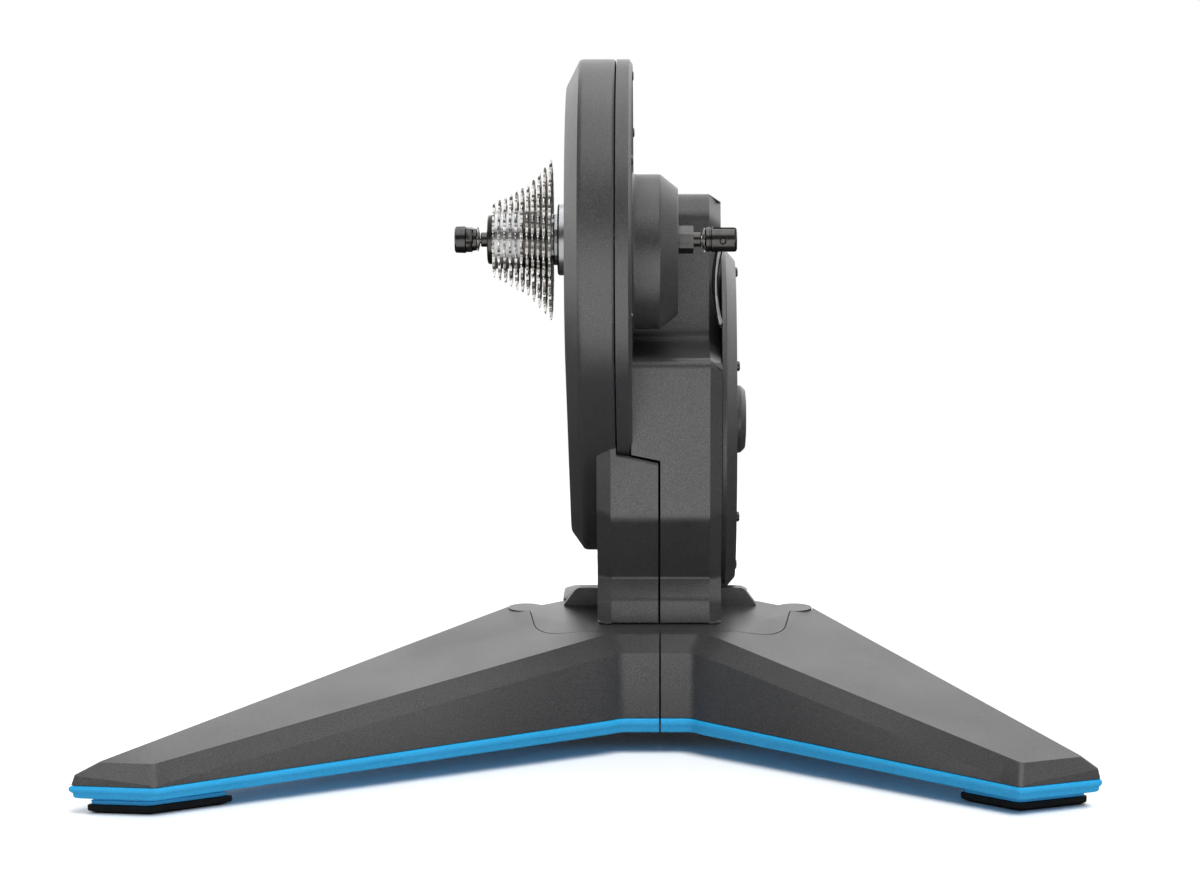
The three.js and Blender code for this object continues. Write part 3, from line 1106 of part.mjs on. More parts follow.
// The distances grow the sides outwards.
function legOutline(leg, front, rear, tip = front) {
  const points = legPoints(leg);
  const grown = (by) => insetSides(points, points.map((point, i) => {
    if (i > 0 && i < LEG_FRONT_POINTS) return -by;
    return i === LEG_FRONT_POINTS ? -rear : 0;
  }));
  const end = grown(tip);
  return grown(front).map((point, i) => (LEG_TIP_PLACES.includes(i) ? end[i] : point));
}

// The outline on its side of the seam, with a height at the body and one for each corner of the tip.
function legRing(leg, outline, body, tip, outer = tip) {
  const ring = outline.map(([x, y], i) => {
    const height = [tip, outer][LEG_TIP_PLACES.indexOf(i)] ?? body;
    return at(SEAM_X + leg.sign * (x + LEG_SEAM_GAP / 2), y, height);
  });
  return leg.sign > 0 ? ring : ring.reverse();
}

const pivotOf = (leg) => pivots[leg.sign > 0 ? 1 : 0];

// What is left of a leg's skin once the saddle, the pivot's ears and the leg's beam have their room.
function clearOfSaddle(leg, made, margin) {
  const [x, y] = pivotOf(leg);
  const saddle = prism(saddleOutline(LEG_CLEARANCE), -OVERRUN, SADDLE_TOP + OVERRUN);
  const ear = moved(rod(-OVERRUN, SADDLE_TOP + OVERRUN, EAR_RADIUS + LEG_CLEARANCE), x, y);
  const bodies = made.subtract(saddle).subtract(ear).subtract(legBar(leg, margin)).decompose();
  return bodies.sort((a, b) => b.volume() - a.volume())[0];
}

function legShell(leg) {
  const low = LEG_FACE_LEAN;
  const shoulder = SADDLE_TOP - LEG_CHAMFER_DROP;
  const outside = loft([
    legRing(leg, legOutline(leg, LEG_CHAMFER + low, LEG_REAR_CHAMFER + low, LEG_TIP_CHAMFER + low),
      PAN_APEX_TOP + GAP, PAN_TIP_TOP + GAP),
    legRing(leg, legOutline(leg, LEG_CHAMFER, LEG_REAR_CHAMFER, LEG_TIP_CHAMFER), shoulder,
      LEG_CHAMFER_TIP, LEG_CHAMFER_OUTER),
    legRing(leg, legOutline(leg, 0, 0), SADDLE_TOP, LEG_TOP_TIP),
  ]);
  const inner = legOutline(leg, LEG_CHAMFER - LEG_WALL, LEG_REAR_CHAMFER - LEG_WALL,
    LEG_TIP_CHAMFER - LEG_WALL);
  const inside = loft([
    legRing(leg, inner, PAN_APEX_TOP - OVERRUN, PAN_TIP_TOP - OVERRUN),
    legRing(leg, inner, shoulder - LEG_WALL, LEG_CHAMFER_TIP),
    legRing(leg, legOutline(leg, -LEG_WALL, -LEG_WALL), SADDLE_TOP - LEG_WALL, LEG_TOP_TIP - LEG_WALL),
  ]);
  const wall = prism(saddleOutline(LEG_CLEARANCE + LEG_WALL), 0, SADDLE_TOP - LEG_WALL);
  const made = clearOfSaddle(leg, outside.subtract(inside.subtract(wall)), LEG_CLEARANCE);
  add(trainer, leg.name + "_leg_shell", made, CHARCOAL);
}

function legPan(leg) {
  const rim = [LEG_CHAMFER, LEG_REAR_CHAMFER, LEG_TIP_CHAMFER].map((side) => side + LEG_FACE_LEAN + TRIM_OUT);
  const slab = loft([
    legRing(leg, legOutline(leg, ...rim.map((side) => side - TRIM_UNDERCUT)),
      PAN_APEX_BOTTOM, PAN_TIP_BOTTOM),
    legRing(leg, legOutline(leg, ...rim), PAN_APEX_TOP, PAN_TIP_TOP),
  ]);
  const riser = prism(footOutline(leg, RISER_INSET), FOOT_PAD + GAP, PAN_TIP_BOTTOM + OVERRUN);
  add(trainer, leg.name + "_leg_pan", clearOfSaddle(leg, slab.add(riser), GAP), BLUE);
  add(trainer, leg.name + "_foot", prism(footOutline(leg, 0), 0, FOOT_PAD), RUBBER);
}

// The foot follows the leg's front, tip and rear sides back from the tip by its two lengths.
function footOutline(leg, margin) {
  const grown = insetSides(legPoints(leg), legPoints(leg).map((point, i) =>
    -(leg.footGrowths[i - LEG_CORNER_PLACE] ?? 0)));
  const [corner, tipFront, tipOuter, heel] = grown.slice(LEG_CORNER_PLACE);
  const [front, rear] = leg.footLengths;
  const outline = [toward(tipFront, corner, front), tipFront, tipOuter, toward(tipOuter, heel, rear)];
  const placed = inset(outline, margin).map(([x, y]) => [SEAM_X + leg.sign * x, y]);
  return leg.sign > 0 ? placed : placed.reverse();
}

function toward([x0, y0], [x1, y1], distance) {
  const share = distance / Math.hypot(x1 - x0, y1 - y0);
  return [x0 + (x1 - x0) * share, y0 + (y1 - y0) * share];
}

function legBar(leg, margin) {
  const [x, y] = pivotOf(leg);
  const tipX = SEAM_X + (leg.sign * (leg.tipFront[0] + leg.tipOuter[0])) / 2;
  const tipY = (leg.tipFront[1] + leg.tipOuter[1]) / 2;
  const endX = x + (tipX - x) * LEG_BEAM_TIP_SHARE;
  const endY = y + (tipY - y) * LEG_BEAM_TIP_SHARE;
  const length = Math.hypot(endX - x, endY - y);
  const [ux, uy] = [(endX - x) / length, (endY - y) / length];
  const outline = inset([[x + uy * LEG_BEAM_HALF, y - ux * LEG_BEAM_HALF],
    [endX + uy * LEG_BEAM_TIP_HALF, endY - ux * LEG_BEAM_TIP_HALF],
    [endX - uy * LEG_BEAM_TIP_HALF, endY + ux * LEG_BEAM_TIP_HALF],
    [x - uy * LEG_BEAM_HALF, y + ux * LEG_BEAM_HALF]], -margin);
  const heights = (body, tip) =>
    outline.map(([px, py], i) => at(px, py, LEG_BEAM_TIP_PLACES.includes(i) ? tip : body));
  const fall = (PAN_APEX_TOP - PAN_TIP_TOP) * LEG_BEAM_TIP_SHARE;
  return loft([heights(EAR_BOTTOM + LEG_CLEARANCE - margin, PAN_APEX_TOP - fall + GAP - margin),
    heights(LEG_BEAM_TOP + margin, LEG_BEAM_TIP_TOP + margin)]);
}

function legBeam(leg) {
  const [x, y] = pivotOf(leg);
  const eye = moved(rod(EAR_BOTTOM, EAR_TOP - GAP, KNUCKLE_RADIUS), x, y);
  const bore = moved(rod(EAR_BOTTOM - OVERRUN, EAR_TOP + OVERRUN, PIN_RADIUS + GAP), x, y);
  add(trainer, leg.name + "_leg_beam", legBar(leg, 0).add(eye).subtract(bore), IRON);
}

// Power inlet on the rear of the body

function powerInlet() {
  const box = new THREE.BoxGeometry(INLET_WIDTH, INLET_DEPTH, INLET_HEIGHT)
    .translate(INLET_X, BODY_FOOT_BACK + GAP + INLET_DEPTH / 2, INLET_MIDDLE);
  const face = BODY_FOOT_BACK + GAP + INLET_DEPTH;
  const bore = new THREE.CylinderGeometry(
    INLET_BORE_RADIUS, INLET_BORE_RADIUS, INLET_BORE_DEPTH + OVERRUN, NARROW_STEPS)
    .translate(INLET_X, face - INLET_BORE_DEPTH / 2 + OVERRUN / 2, INLET_MIDDLE);
  add(trainer, "power_inlet", solid(box).subtract(solid(bore)), RUBBER);
}

// Assembly
axle();
axleEnd("axle_end_drive", AXLE_DRIVE_END, DRIVE_SHOULDER, DRIVE_END_RADIUS);
axleEnd("axle_end_far", AXLE_FAR_END, FAR_SHOULDER, FAR_END_RADIUS);
skewer();
spring("skewer_spring_drive", DRIVE_SHOULDER - STUB_LENGTH, -1);
spring("skewer_spring_far", FAR_SHOULDER + STUB_LENGTH, 1);
quickRelease();
freehub();
freehubBearings();
SPROCKET_TEETH.forEach(sprocket);
lockring();
leftBodyCover();
beltCaseBack();
drivePulley();
pulleyHub();
belt();
idler();
flywheel();
brakeStator();
towerRightShell();
circuitBoard();
axleBoss();
flywheelCover();
baseSaddle();
pivotPin("left_pivot_pin", pivots[0]);
pivotPin("right_pivot_pin", pivots[1]);
rearBeam();
rearTray();
for (const leg of [LEFT_LEG, RIGHT_LEG]) {
  legShell(leg);
  legPan(leg);
  legBeam(leg);
}
powerInlet();

// The trainer's own frame: on the floor, under the middle of its box.
trainer.updateMatrixWorld(true);
const reach = new THREE.Box3().setFromObject(trainer, true);
trainer.position.set(-(reach.min.x + reach.max.x) / 2, -(reach.min.y + reach.max.y) / 2, -reach.min.z);

export default trainer;
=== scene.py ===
import json
import math
import bmesh
import bpy
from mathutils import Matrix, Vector


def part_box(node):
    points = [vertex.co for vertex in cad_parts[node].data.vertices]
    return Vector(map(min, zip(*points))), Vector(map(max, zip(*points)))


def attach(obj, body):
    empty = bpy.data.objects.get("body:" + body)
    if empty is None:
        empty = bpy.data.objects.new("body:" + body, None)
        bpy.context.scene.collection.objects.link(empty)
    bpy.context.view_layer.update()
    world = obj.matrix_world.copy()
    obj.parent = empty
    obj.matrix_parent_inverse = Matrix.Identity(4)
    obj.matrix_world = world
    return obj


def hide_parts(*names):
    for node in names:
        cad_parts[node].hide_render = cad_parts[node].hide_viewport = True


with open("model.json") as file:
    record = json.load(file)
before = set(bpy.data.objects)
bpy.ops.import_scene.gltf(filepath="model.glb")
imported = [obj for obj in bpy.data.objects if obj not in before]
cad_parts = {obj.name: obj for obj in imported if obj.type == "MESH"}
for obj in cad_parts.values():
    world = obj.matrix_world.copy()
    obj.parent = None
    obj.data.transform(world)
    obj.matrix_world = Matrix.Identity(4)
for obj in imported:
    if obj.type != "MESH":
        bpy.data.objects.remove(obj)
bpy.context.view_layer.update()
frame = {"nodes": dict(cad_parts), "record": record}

# View and light. A long lens looks slightly down on the front of the trainer, and one large soft lamp
# lights it. Its surfaces mirror a studio with a bright back wall, a soft box overhead, a low bright band in
# front and a strip at the far left. The background that the camera sees is plain white.
CAMERA_PLACE = (0.046021, -2.714328, 0.673)
CAMERA_DIP = 10.22
LENS, SENSOR, FRAME_SHIFT, SIGHT_END = 118.98, 36.0, -0.05, 20.0
LAMP_STRENGTH, LAMP_HEIGHT, LAMP_TURN, LAMP_SPREAD = 2.5, 58, 24, 30
LAMP_COLOR = (1.0, 0.99, 0.97)
WHITE = (1, 1, 1, 1)
BACK_WALL, RIGHT_WALL, SOFT_BOX, FRONT_BAND, LEFT_STRIP = 1.35, 0.3, 1.8, 1.6, 0.8
ROOM_LOW, ROOM_HIGH = 0.05, 0.22


def linked(name, data):
    """A new object of the scene that shows a mesh, a lamp or a camera."""
    obj = bpy.data.objects.new(name, data)
    bpy.context.scene.collection.objects.link(obj)
    return obj


def fed(tree, node, inputs):
    """Gives a node its inputs: plain values, outputs that feed them, or nodes for their first outputs."""
    for socket, value in inputs.items():
        if isinstance(value, bpy.types.Node):
            value = value.outputs[0]
        if isinstance(value, bpy.types.NodeSocket):
            tree.links.new(value, node.inputs[socket])
        else:
            node.inputs[socket].default_value = value
    return node


def added(tree, kind, inputs=None, **settings):
    """A new node of a tree, with its settings and its inputs."""
    node = tree.nodes.new(kind)
    for name, value in settings.items():
        setattr(node, name, value)
    return fed(tree, node, inputs or {})


def worked(tree, operation, *values):
    """One sum of plain values or of what other nodes give."""
    return added(tree, "ShaderNodeMath", dict(enumerate(values)), operation=operation)


def share(tree, value, start, end, low=0.0, high=1.0, run="SMOOTHSTEP"):
    """Runs from low to high while the value runs from start to end, and stays level beyond them."""
    return added(tree, "ShaderNodeMapRange", {
        "Value": value, "From Min": start, "From Max": end, "To Min": low, "To Max": high},
        interpolation_type=run).outputs["Result"]


camera_data = bpy.data.cameras.new("camera")
camera_data.lens = LENS
camera_data.sensor_width = SENSOR
camera_data.shift_x = FRAME_SHIFT
camera_data.clip_end = SIGHT_END
camera = linked("camera", camera_data)
camera.location = CAMERA_PLACE
camera.rotation_euler = (math.radians(90 - CAMERA_DIP), 0, 0)
bpy.context.scene.camera = camera
bpy.context.scene.view_settings.view_transform = "Standard"

lamp = bpy.data.lights.new("key_lamp", "SUN")
lamp.energy = LAMP_STRENGTH
lamp.angle = math.radians(LAMP_SPREAD)
lamp.color = LAMP_COLOR
key_lamp = linked("key_lamp", lamp)
key_lamp.rotation_euler = (math.radians(90 - LAMP_HEIGHT), 0, math.radians(LAMP_TURN))
key_lamp.visible_glossy = False

world = bpy.data.worlds.new("white_room")
bpy.context.scene.world = world
world.use_nodes = True
room = world.node_tree
room.nodes.clear()
looking = added(room, "ShaderNodeTexCoord").outputs["Generated"]
way = added(room, "ShaderNodeSeparateXYZ", {0: looking}).outputs
room_parts = (
    (share(room, way["Y"], 0.1, 0.7, 0.0, BACK_WALL), share(room, way["Z"], 0.3, 0.85, 1.0, 0.3)),
    (share(room, way["X"], 0.3, 1.0, 0.0, RIGHT_WALL),),
    (share(room, way["X"], -0.3, -0.06), share(room, way["X"], 0.06, 0.3, 1.0, 0.0),
     share(room, way["Z"], 0.66, 0.86, 0.0, SOFT_BOX)),
    (share(room, way["Y"], -0.7, -0.2, FRONT_BAND, 0.0), share(room, way["Z"], 0.02, 0.18, 1.0, 0.0),
     share(room, way["X"], 0.2, 0.7, 1.0, 0.2)),
    (share(room, way["X"], -1.0, -0.85, LEFT_STRIP, 0.0), share(room, way["Z"], 0.02, 0.15, 1.0, 0.0)))
brightness = share(room, way["Z"], -0.2, 1.0, ROOM_LOW, ROOM_HIGH)
for part in room_parts:
    product = part[0]
    for factor in part[1:]:
        product = worked(room, "MULTIPLY", product, factor)
    brightness = worked(room, "ADD", brightness, product)
mirrored_room = added(room, "ShaderNodeBackground", {"Color": WHITE, "Strength": brightness})
seen_room = added(room, "ShaderNodeBackground", {"Color": WHITE, "Strength": 1.0})
whole_room = added(room, "ShaderNodeMixShader", {
    0: added(room, "ShaderNodeLightPath").outputs["Is Camera Ray"], 1: mirrored_room, 2: seen_room})
added(room, "ShaderNodeOutputWorld", {"Surface": whole_room})

# Floor. A white sweep that keeps the trainer's shadow near its feet and fades to plain white away from it.
# In mirrored rays it is bright only in front and at the far left, and elsewhere carries painted shade that
# stands in for the trainer's shadow. It is scenery and no part of the trainer.
FADE_START, FADE_END = 0.45, 0.95
FRONT_START, FRONT_END, FRONT_SLANT = -0.33, -0.23, 0.7
LEFT_START, LEFT_END = -1.3, -0.9
FLOOR_PAINTED_SHADE, LIT_FLOOR = 0.04, 0.8
FLOOR_HALF = 9.0
floor_material = bpy.data.materials.new("white_floor")
floor_material.use_nodes = True
sweep = floor_material.node_tree
sweep.nodes.clear()
floor_place = added(sweep, "ShaderNodeTexCoord").outputs["Object"]
floor_way = added(sweep, "ShaderNodeSeparateXYZ", {0: floor_place}).outputs
floor_rays = added(sweep, "ShaderNodeLightPath").outputs
distance = added(sweep, "ShaderNodeVectorMath", {0: floor_place}, operation="LENGTH").outputs["Value"]
seen_floor = added(sweep, "ShaderNodeMixShader", {
    0: share(sweep, distance, FADE_START, FADE_END, run="LINEAR"),
    1: added(sweep, "ShaderNodeBsdfDiffuse", {"Color": WHITE}),
    2: added(sweep, "ShaderNodeEmission", {"Color": WHITE, "Strength": 1.0})})
# Painted shade: in mirrored rays the floor is dark except in front and at the far left, standing in for the
# trainer's shadow round its base and between its legs.
sideways = worked(sweep, "ABSOLUTE", floor_way["X"])
slanted = worked(sweep, "MULTIPLY_ADD", sideways, FRONT_SLANT, floor_way["Y"])
mirrored_tone_with_painted_shade = worked(sweep, "MAXIMUM", share(sweep, slanted, FRONT_START, FRONT_END, 1.0, FLOOR_PAINTED_SHADE),
                       share(sweep, floor_way["X"], LEFT_START, LEFT_END, 1.0, 0.0))
floor_tone = added(sweep, "ShaderNodeMix", {
    "Factor": floor_rays["Is Diffuse Ray"], "A": mirrored_tone_with_painted_shade, "B": LIT_FLOOR}, data_type="FLOAT")
mirrored_floor = added(sweep, "ShaderNodeBsdfDiffuse", {"Color": floor_tone.outputs["Result"]})
whole_floor = added(sweep, "ShaderNodeMixShader", {
    0: floor_rays["Is Camera Ray"], 1: mirrored_floor, 2: seen_floor})
added(sweep, "ShaderNodeOutputMaterial", {"Surface": whole_floor})
floor_mesh = bpy.data.meshes.new("floor")
floor_corners = [(x * FLOOR_HALF, y * FLOOR_HALF, 0) for x, y in ((-1, -1), (1, -1), (1, 1), (-1, 1))]
floor_mesh.from_pydata(floor_corners, [], [(0, 1, 2, 3)])
floor = linked("floor", floor_mesh)
floor.data.materials.append(floor_material)

# Base saddle. A broad moulded block of charcoal plastic over the steel frame, between the roots of the
# front legs. The tower is bolted down on it, in front of a low ridge. Round ears at its rear corners hold
# the legs' pivots.
pulley_low, pulley_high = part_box("drive_pulley")
AXLE_LINE = (Vector(pulley_low) + Vector(pulley_high)) / 2
AXLE_HEIGHT = 341.0
SEAM = 46.2
SADDLE_BASE, SADDLE_TOP = 16.0, 80.0
SADDLE_HALF = [(70.1, -16.4), (82.6, -4.4), (90.0, 57.0), (78.0, 66.0), (66.0, 78.0)]
SADDLE_BENDS = [12, 14, 10, 6, 6, 6, 6, 10, 14, 12]
LEGS = {
    "left": {"sign": -1, "nose": 29.8, "corner": (39.8, -32.7), "front": (317.5, -185.0),
             "outer": (353.3, -180.6), "heel": (102.4, 60.6), "foot": (58.0, 40.0),
             "foot_growth": (-1.0, 1.2, 6.4)},
    "right": {"sign": 1, "nose": 26.5, "corner": (37.1, -36.2), "front": (226.9, -182.1),
              "outer": (266.9, -166.3), "heel": (102.0, 60.4), "foot": (46.0, 40.0),
              "foot_growth": (-3.0, -3.8, 8.5)},
}
LEG_TIP_TOP = 33.0
SLOPE_OVERRUN, SLOPE_REACH, SLOPE_TOP = 30, 60, 110.0
ROOM_FLOOR, ROOM_TOP = -5.0, 95.0
PIVOT_HALF, PIVOT_BACK = 92.0, 57.0
EAR_RADIUS, EAR_LOW, EAR_HIGH, KNUCKLE_ROOM = 12.0, 26.3, 66.3, 13.2
RIDGE_HALF, RIDGE_FRONT, RIDGE_BACK = 66.0, 61.2, 70.2
RIDGE_LEVELS = [(79.7, 0), (80.6, 0), (91.0, 7.5), (92.5, 10.0)]


def spot(across, back, height):
    """A place, from millimetres across from the drive pulley, behind the axle and above the floor."""
    return Vector((AXLE_LINE.x + across / 1000, AXLE_LINE.y + back / 1000, height / 1000))


def turns(steps, start=0.0):
    """The cosine and sine of each of equal steps round a circle."""
    angles = [start + 2 * math.pi * i / steps for i in range(steps)]
    return [(math.cos(angle), math.sin(angle)) for angle in angles]


def grown(outline, distances):
    """An anticlockwise outline with each side moved outwards by its own distance."""
    count = len(outline)
    lines = []
    for i in range(count):
        (x0, y0), (x1, y1) = outline[i], outline[(i + 1) % count]
        length = math.hypot(x1 - x0, y1 - y0)
        nx, ny = (y1 - y0) / length, -(x1 - x0) / length
        lines.append((nx, ny, nx * x0 + ny * y0 + distances[i]))
    corners = []
    for i in range(count):
        (ax, ay, a), (bx, by, b) = lines[i - 1], lines[i]
        cross = ax * by - ay * bx
        corners.append(((a * by - b * ay) / cross, (ax * b - bx * a) / cross))
    return corners


def rounded(points, radii, steps=5):
    """A closed run of places whose corners become smooth bends that start a radius before each corner."""
    run = []
    count = len(points)
    for i, point in enumerate(points):
        if not radii[i]:
            run.append(point.copy())
            continue
        before, after = points[i - 1], points[(i + 1) % count]
        start = point + (before - point).normalized() * radii[i] / 1000
        end = point + (after - point).normalized() * radii[i] / 1000
        for k in range(steps + 1):
            t = k / steps
            run.append(start * (1 - t) ** 2 + point * 2 * t * (1 - t) + end * t ** 2)
    return run


def outward(name, mesh):
    """The mesh as data, with all its faces turned outwards."""
    bmesh.ops.recalc_face_normals(mesh, faces=mesh.faces)
    if mesh.calc_volume(signed=True) < 0:
        bmesh.ops.reverse_faces(mesh, faces=mesh.faces)
    data = bpy.data.meshes.new(name)
    mesh.to_mesh(data)
    mesh.free()
    return data


def skinned(name, rings, low_faces=None, high_faces=None):
    """A closed body through rings of places; the faces of an end are lists of places in its ring."""
    mesh = bmesh.new()
    rows = [[mesh.verts.new(place) for place in ring] for ring in rings]
    count = len(rows[0])
    for low, high in zip(rows, rows[1:]):
        for i in range(count):
            j = (i + 1) % count
            mesh.faces.new((low[i], low[j], high[j], high[i]))
    whole = [list(range(count))]
    for row, faces, step in ((rows[0], low_faces or whole, -1), (rows[-1], high_faces or whole, 1)):
        for face in faces:
            mesh.faces.new([row[i] for i in face][::step])
    return linked(name, outward(name, mesh))


def made_plain(piece):
    """The piece's modifiers are worked into its mesh."""
    graph = bpy.context.evaluated_depsgraph_get()
    graph.update()
    data = bpy.data.meshes.new_from_object(piece.evaluated_get(graph))
    old = piece.data
    piece.modifiers.clear()
    piece.data = data
    bpy.data.meshes.remove(old)
    return piece


def combined(piece, others, operation):
    """The piece after one Boolean operation with each of the others, which go."""
    for other in others:
        modifier = piece.modifiers.new(operation.lower(), "BOOLEAN")
        modifier.object = other
        modifier.operation = operation
        modifier.solver = "MANIFOLD"
    made_plain(piece)
    for other in others:
        bpy.data.objects.remove(other)
    return piece


def cut_away(piece, *cutters):
    return combined(piece, cutters, "DIFFERENCE")


def joined(piece, *others):
    return combined(piece, others, "UNION")


def eased(piece, width, segments=3, angle=24):
    """Rounds the edges as a mould or a tool leaves them."""
    for face in piece.data.polygons:
        face.use_smooth = True
    ease = piece.modifiers.new("eased_edges", "BEVEL")
    ease.width = width / 1000
    ease.segments = segments
    ease.limit_method = "ANGLE"
    ease.angle_limit = math.radians(angle)
    ease.harden_normals = True
    ease.use_clamp_overlap = True
    ease.miter_outer = "MITER_ARC"
    return piece


def fitted(piece, body, finish, *nodes):
    """Gives a piece its body and its finish's material, and hides the CAD nodes that it stands for."""
    slot, material = finish
    piece.data.materials.clear()
    piece.data.materials.append(material)
    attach(piece, body)
    if nodes:
        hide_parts(*nodes)
    return piece


def new_finish(name):
    """A new material, its node tree, its shader and the piece's own coordinates."""
    material = bpy.data.materials.new(name)
    material.use_nodes = True
    tree = material.node_tree
    return material, tree, tree.nodes["Principled BSDF"], added(tree, "ShaderNodeTexCoord").outputs["Object"]


def noise(tree, place, scale, detail, rough=0.5):
    return added(tree, "ShaderNodeTexNoise", {
        "Vector": place, "Scale": scale, "Detail": detail, "Roughness": rough}).outputs["Fac"]


def tinted(tree, value, low_end, high_end, low, high):
    """A colour that runs from low to high between the two ends of a value."""
    node = added(tree, "ShaderNodeValToRGB", {"Fac": value})
    for element, end, color in zip(node.color_ramp.elements, (low_end, high_end), (low, high)):
        element.position = end
        element.color = (*color, 1)
    return node.outputs["Color"]


def bumped(tree, height, strength, depth):
    return added(tree, "ShaderNodeBump", {
        "Strength": strength, "Distance": depth, "Height": height}).outputs["Normal"]


def grained_plastic(name, color, rough, grain_depth, grain_top_highlight, shine=0.5):
    """Moulded plastic with a fine spark-eroded grain, faint mottling and a painted highlight on the tops of
    the grain.
    """
    material, tree, shader, place = new_finish(name)
    grain = noise(tree, place, 1500.0, 3.0, 0.6)
    clouds = noise(tree, place, 14.0, 3.0)
    # Painted highlight: the colour lightens on the tops of the grain, up to the given multiple of the base
    # colour.
    tint = tinted(tree, grain, 0.42, 0.72, [c * 0.8 for c in color], [min(1, c * grain_top_highlight) for c in color])
    mottle = added(tree, "ShaderNodeMix", {"Factor": 0.25, "A": tint, "B": clouds},
                   data_type="RGBA", blend_type="MULTIPLY")
    fed(tree, shader, {
        "Base Color": mottle.outputs["Result"], "Normal": bumped(tree, grain, 0.35, grain_depth),
        "Roughness": share(tree, clouds, 0.3, 0.7, rough - 0.06, rough + 0.06, "LINEAR"),
        "Specular IOR Level": shine})
    return material


def block_ring(left, right, front, back, height, bends=(0, 0, 0, 0)):
    corners = [(left, front), (right, front), (right, back), (left, back)]
    return rounded([spot(x, y, height) for x, y in corners], bends)


def saddle_ring(margin, height):
    outline = [(SEAM + x, y) for x, y in SADDLE_HALF] + [(SEAM - x, y) for x, y in SADDLE_HALF[::-1]]
    outline = grown(outline, [margin] * len(outline))
    return rounded([spot(x, y, height) for x, y in outline], SADDLE_BENDS)


def slope_room(leg):
    """The room above a leg's sloping top, which starts at the line from its front corner to its heel."""
    corner, heel, outer = leg["corner"], leg["heel"], leg["outer"]
    length = math.hypot(heel[0] - corner[0], heel[1] - corner[1])
    ux, uy = (heel[0] - corner[0]) / length, (heel[1] - corner[1]) / length
    fall = (SADDLE_TOP - LEG_TIP_TOP) / ((outer[0] - corner[0]) * uy - (outer[1] - corner[1]) * ux)
    start, end = -SLOPE_OVERRUN, length + SLOPE_OVERRUN
    places = [(start, 0), (start, SLOPE_REACH), (end, SLOPE_REACH), (end, 0)]
    return skinned("slope_room", [
        [spot(SEAM + leg["sign"] * (corner[0] + ux * along + uy * out), corner[1] + uy * along - ux * out,
              high or SADDLE_TOP - fall * out) for along, out in places] for high in (None, SLOPE_TOP)])


def pivot_round(leg, radius, low, high, steps=64):
    """An upright round body about the pivot of one leg, between two heights."""
    return skinned("pivot_round", [
        [spot(SEAM + leg["sign"] * PIVOT_HALF + radius * c, PIVOT_BACK + radius * s, height)
         for c, s in turns(steps)] for height in (low, high)])


CHARCOAL_COLOR = (0.031, 0.031, 0.033)
charcoal = ("charcoal_plastic", grained_plastic(
    "charcoal_plastic_grain", CHARCOAL_COLOR, 0.33, 0.0005, 3.0, 1.0))
saddle = skinned("base_saddle_moulding", [saddle_ring(0, SADDLE_BASE), saddle_ring(0, SADDLE_TOP)])
cut_away(saddle, *[slope_room(leg) for leg in LEGS.values()])
for leg in LEGS.values():
    joined(saddle, pivot_round(leg, EAR_RADIUS, SADDLE_BASE, EAR_LOW),
           pivot_round(leg, EAR_RADIUS, EAR_HIGH, SADDLE_TOP))
    cut_away(saddle, pivot_round(leg, KNUCKLE_ROOM, EAR_LOW, EAR_HIGH))
eased(saddle, 0.7, 2)
fitted(saddle, "base", charcoal, "base_saddle")
ridge = skinned("saddle_ridge", [
    block_ring(SEAM - RIDGE_HALF + lean, SEAM + RIDGE_HALF - lean, RIDGE_FRONT, RIDGE_BACK, height)
    for height, lean in RIDGE_LEVELS])
cut_away(ridge, skinned("tower_foot_room", [
    block_ring(26.7, 88.0, 50, 80, height) for height in (75, ROOM_TOP)]))
eased(ridge, 1.0, 3)
fitted(ridge, "base", charcoal)

# Front legs. Each is a long hollow moulding of the same charcoal plastic over a steel beam on an upright
# pivot. Its top slopes down to the tip, a bevel runs along its edges, and its sides lean out a little to
# the trim.
LEG_ROOT, LEG_BACK, NOSE_FRONT, SEAM_GAP_HALF = 82.6, 72.0, -25.0, 0.6
LEG_LOW, LEG_SHOULDER, TIP_LOW, TIP_SHOULDER, TIP_OUTER_SHOULDER = 26.3, 70.0, 20.3, 21.3, 26.5
LEG_BENDS = [0, 0, 4, 0, 3, 3, 0, 0]
BEND_STEPS = 5
LEG_STRIPS = 28
SHELL_GAP = 0.6


def leg_corners(leg):
    return [(0, LEG_BACK), (0, NOSE_FRONT), (leg["nose"], NOSE_FRONT), leg["corner"], leg["front"],
            leg["outer"], leg["heel"], (LEG_ROOT, LEG_BACK)]


def leg_ring(leg, front, rear, tip, body_height, tip_height, outer_height=None):
    """A level of a leg: how far its front, rear and tip stand out, and its heights at body and tip."""
    heights = {4: tip_height, 5: outer_height or tip_height}
    body, end = [grown(leg_corners(leg), [0, by, by, by, by, rear, 0, 0]) for by in (front, tip)]
    places = []
    for i, point in enumerate(body):
        x, y = end[i] if i in heights else point
        places.append(spot(SEAM + leg["sign"] * (x + SEAM_GAP_HALF), y, heights.get(i, body_height)))
    return rounded(places, LEG_BENDS, BEND_STEPS)


def leg_end_faces():
    """The top or the underside is one flat face at the body and one slope out to the tip."""
    nose_end = 2 + BEND_STEPS + 1
    tip_end = nose_end + 2 * (BEND_STEPS + 1)
    return [list(range(0, nose_end + 1)) + [tip_end + 1, tip_end + 2], list(range(nose_end, tip_end + 2))]


def opened(piece):
    mesh = bmesh.new()
    mesh.from_mesh(piece.data)
    return mesh


def closed(piece, mesh):
    mesh.to_mesh(piece.data)
    mesh.free()
    return piece


def in_strips(piece, leg):
    """The twisted slope of a leg becomes a smooth run of narrow strips across it."""
    start, end = [spot(SEAM + leg["sign"] * leg[place][0], leg[place][1], 0) for place in ("corner", "front")]
    mesh = opened(piece)
    for i in range(1, LEG_STRIPS):
        bmesh.ops.bisect_plane(mesh, geom=[*mesh.verts, *mesh.edges, *mesh.faces], dist=0.000001,
                               plane_co=start.lerp(end, i / LEG_STRIPS), plane_no=end - start)
    return closed(piece, mesh)


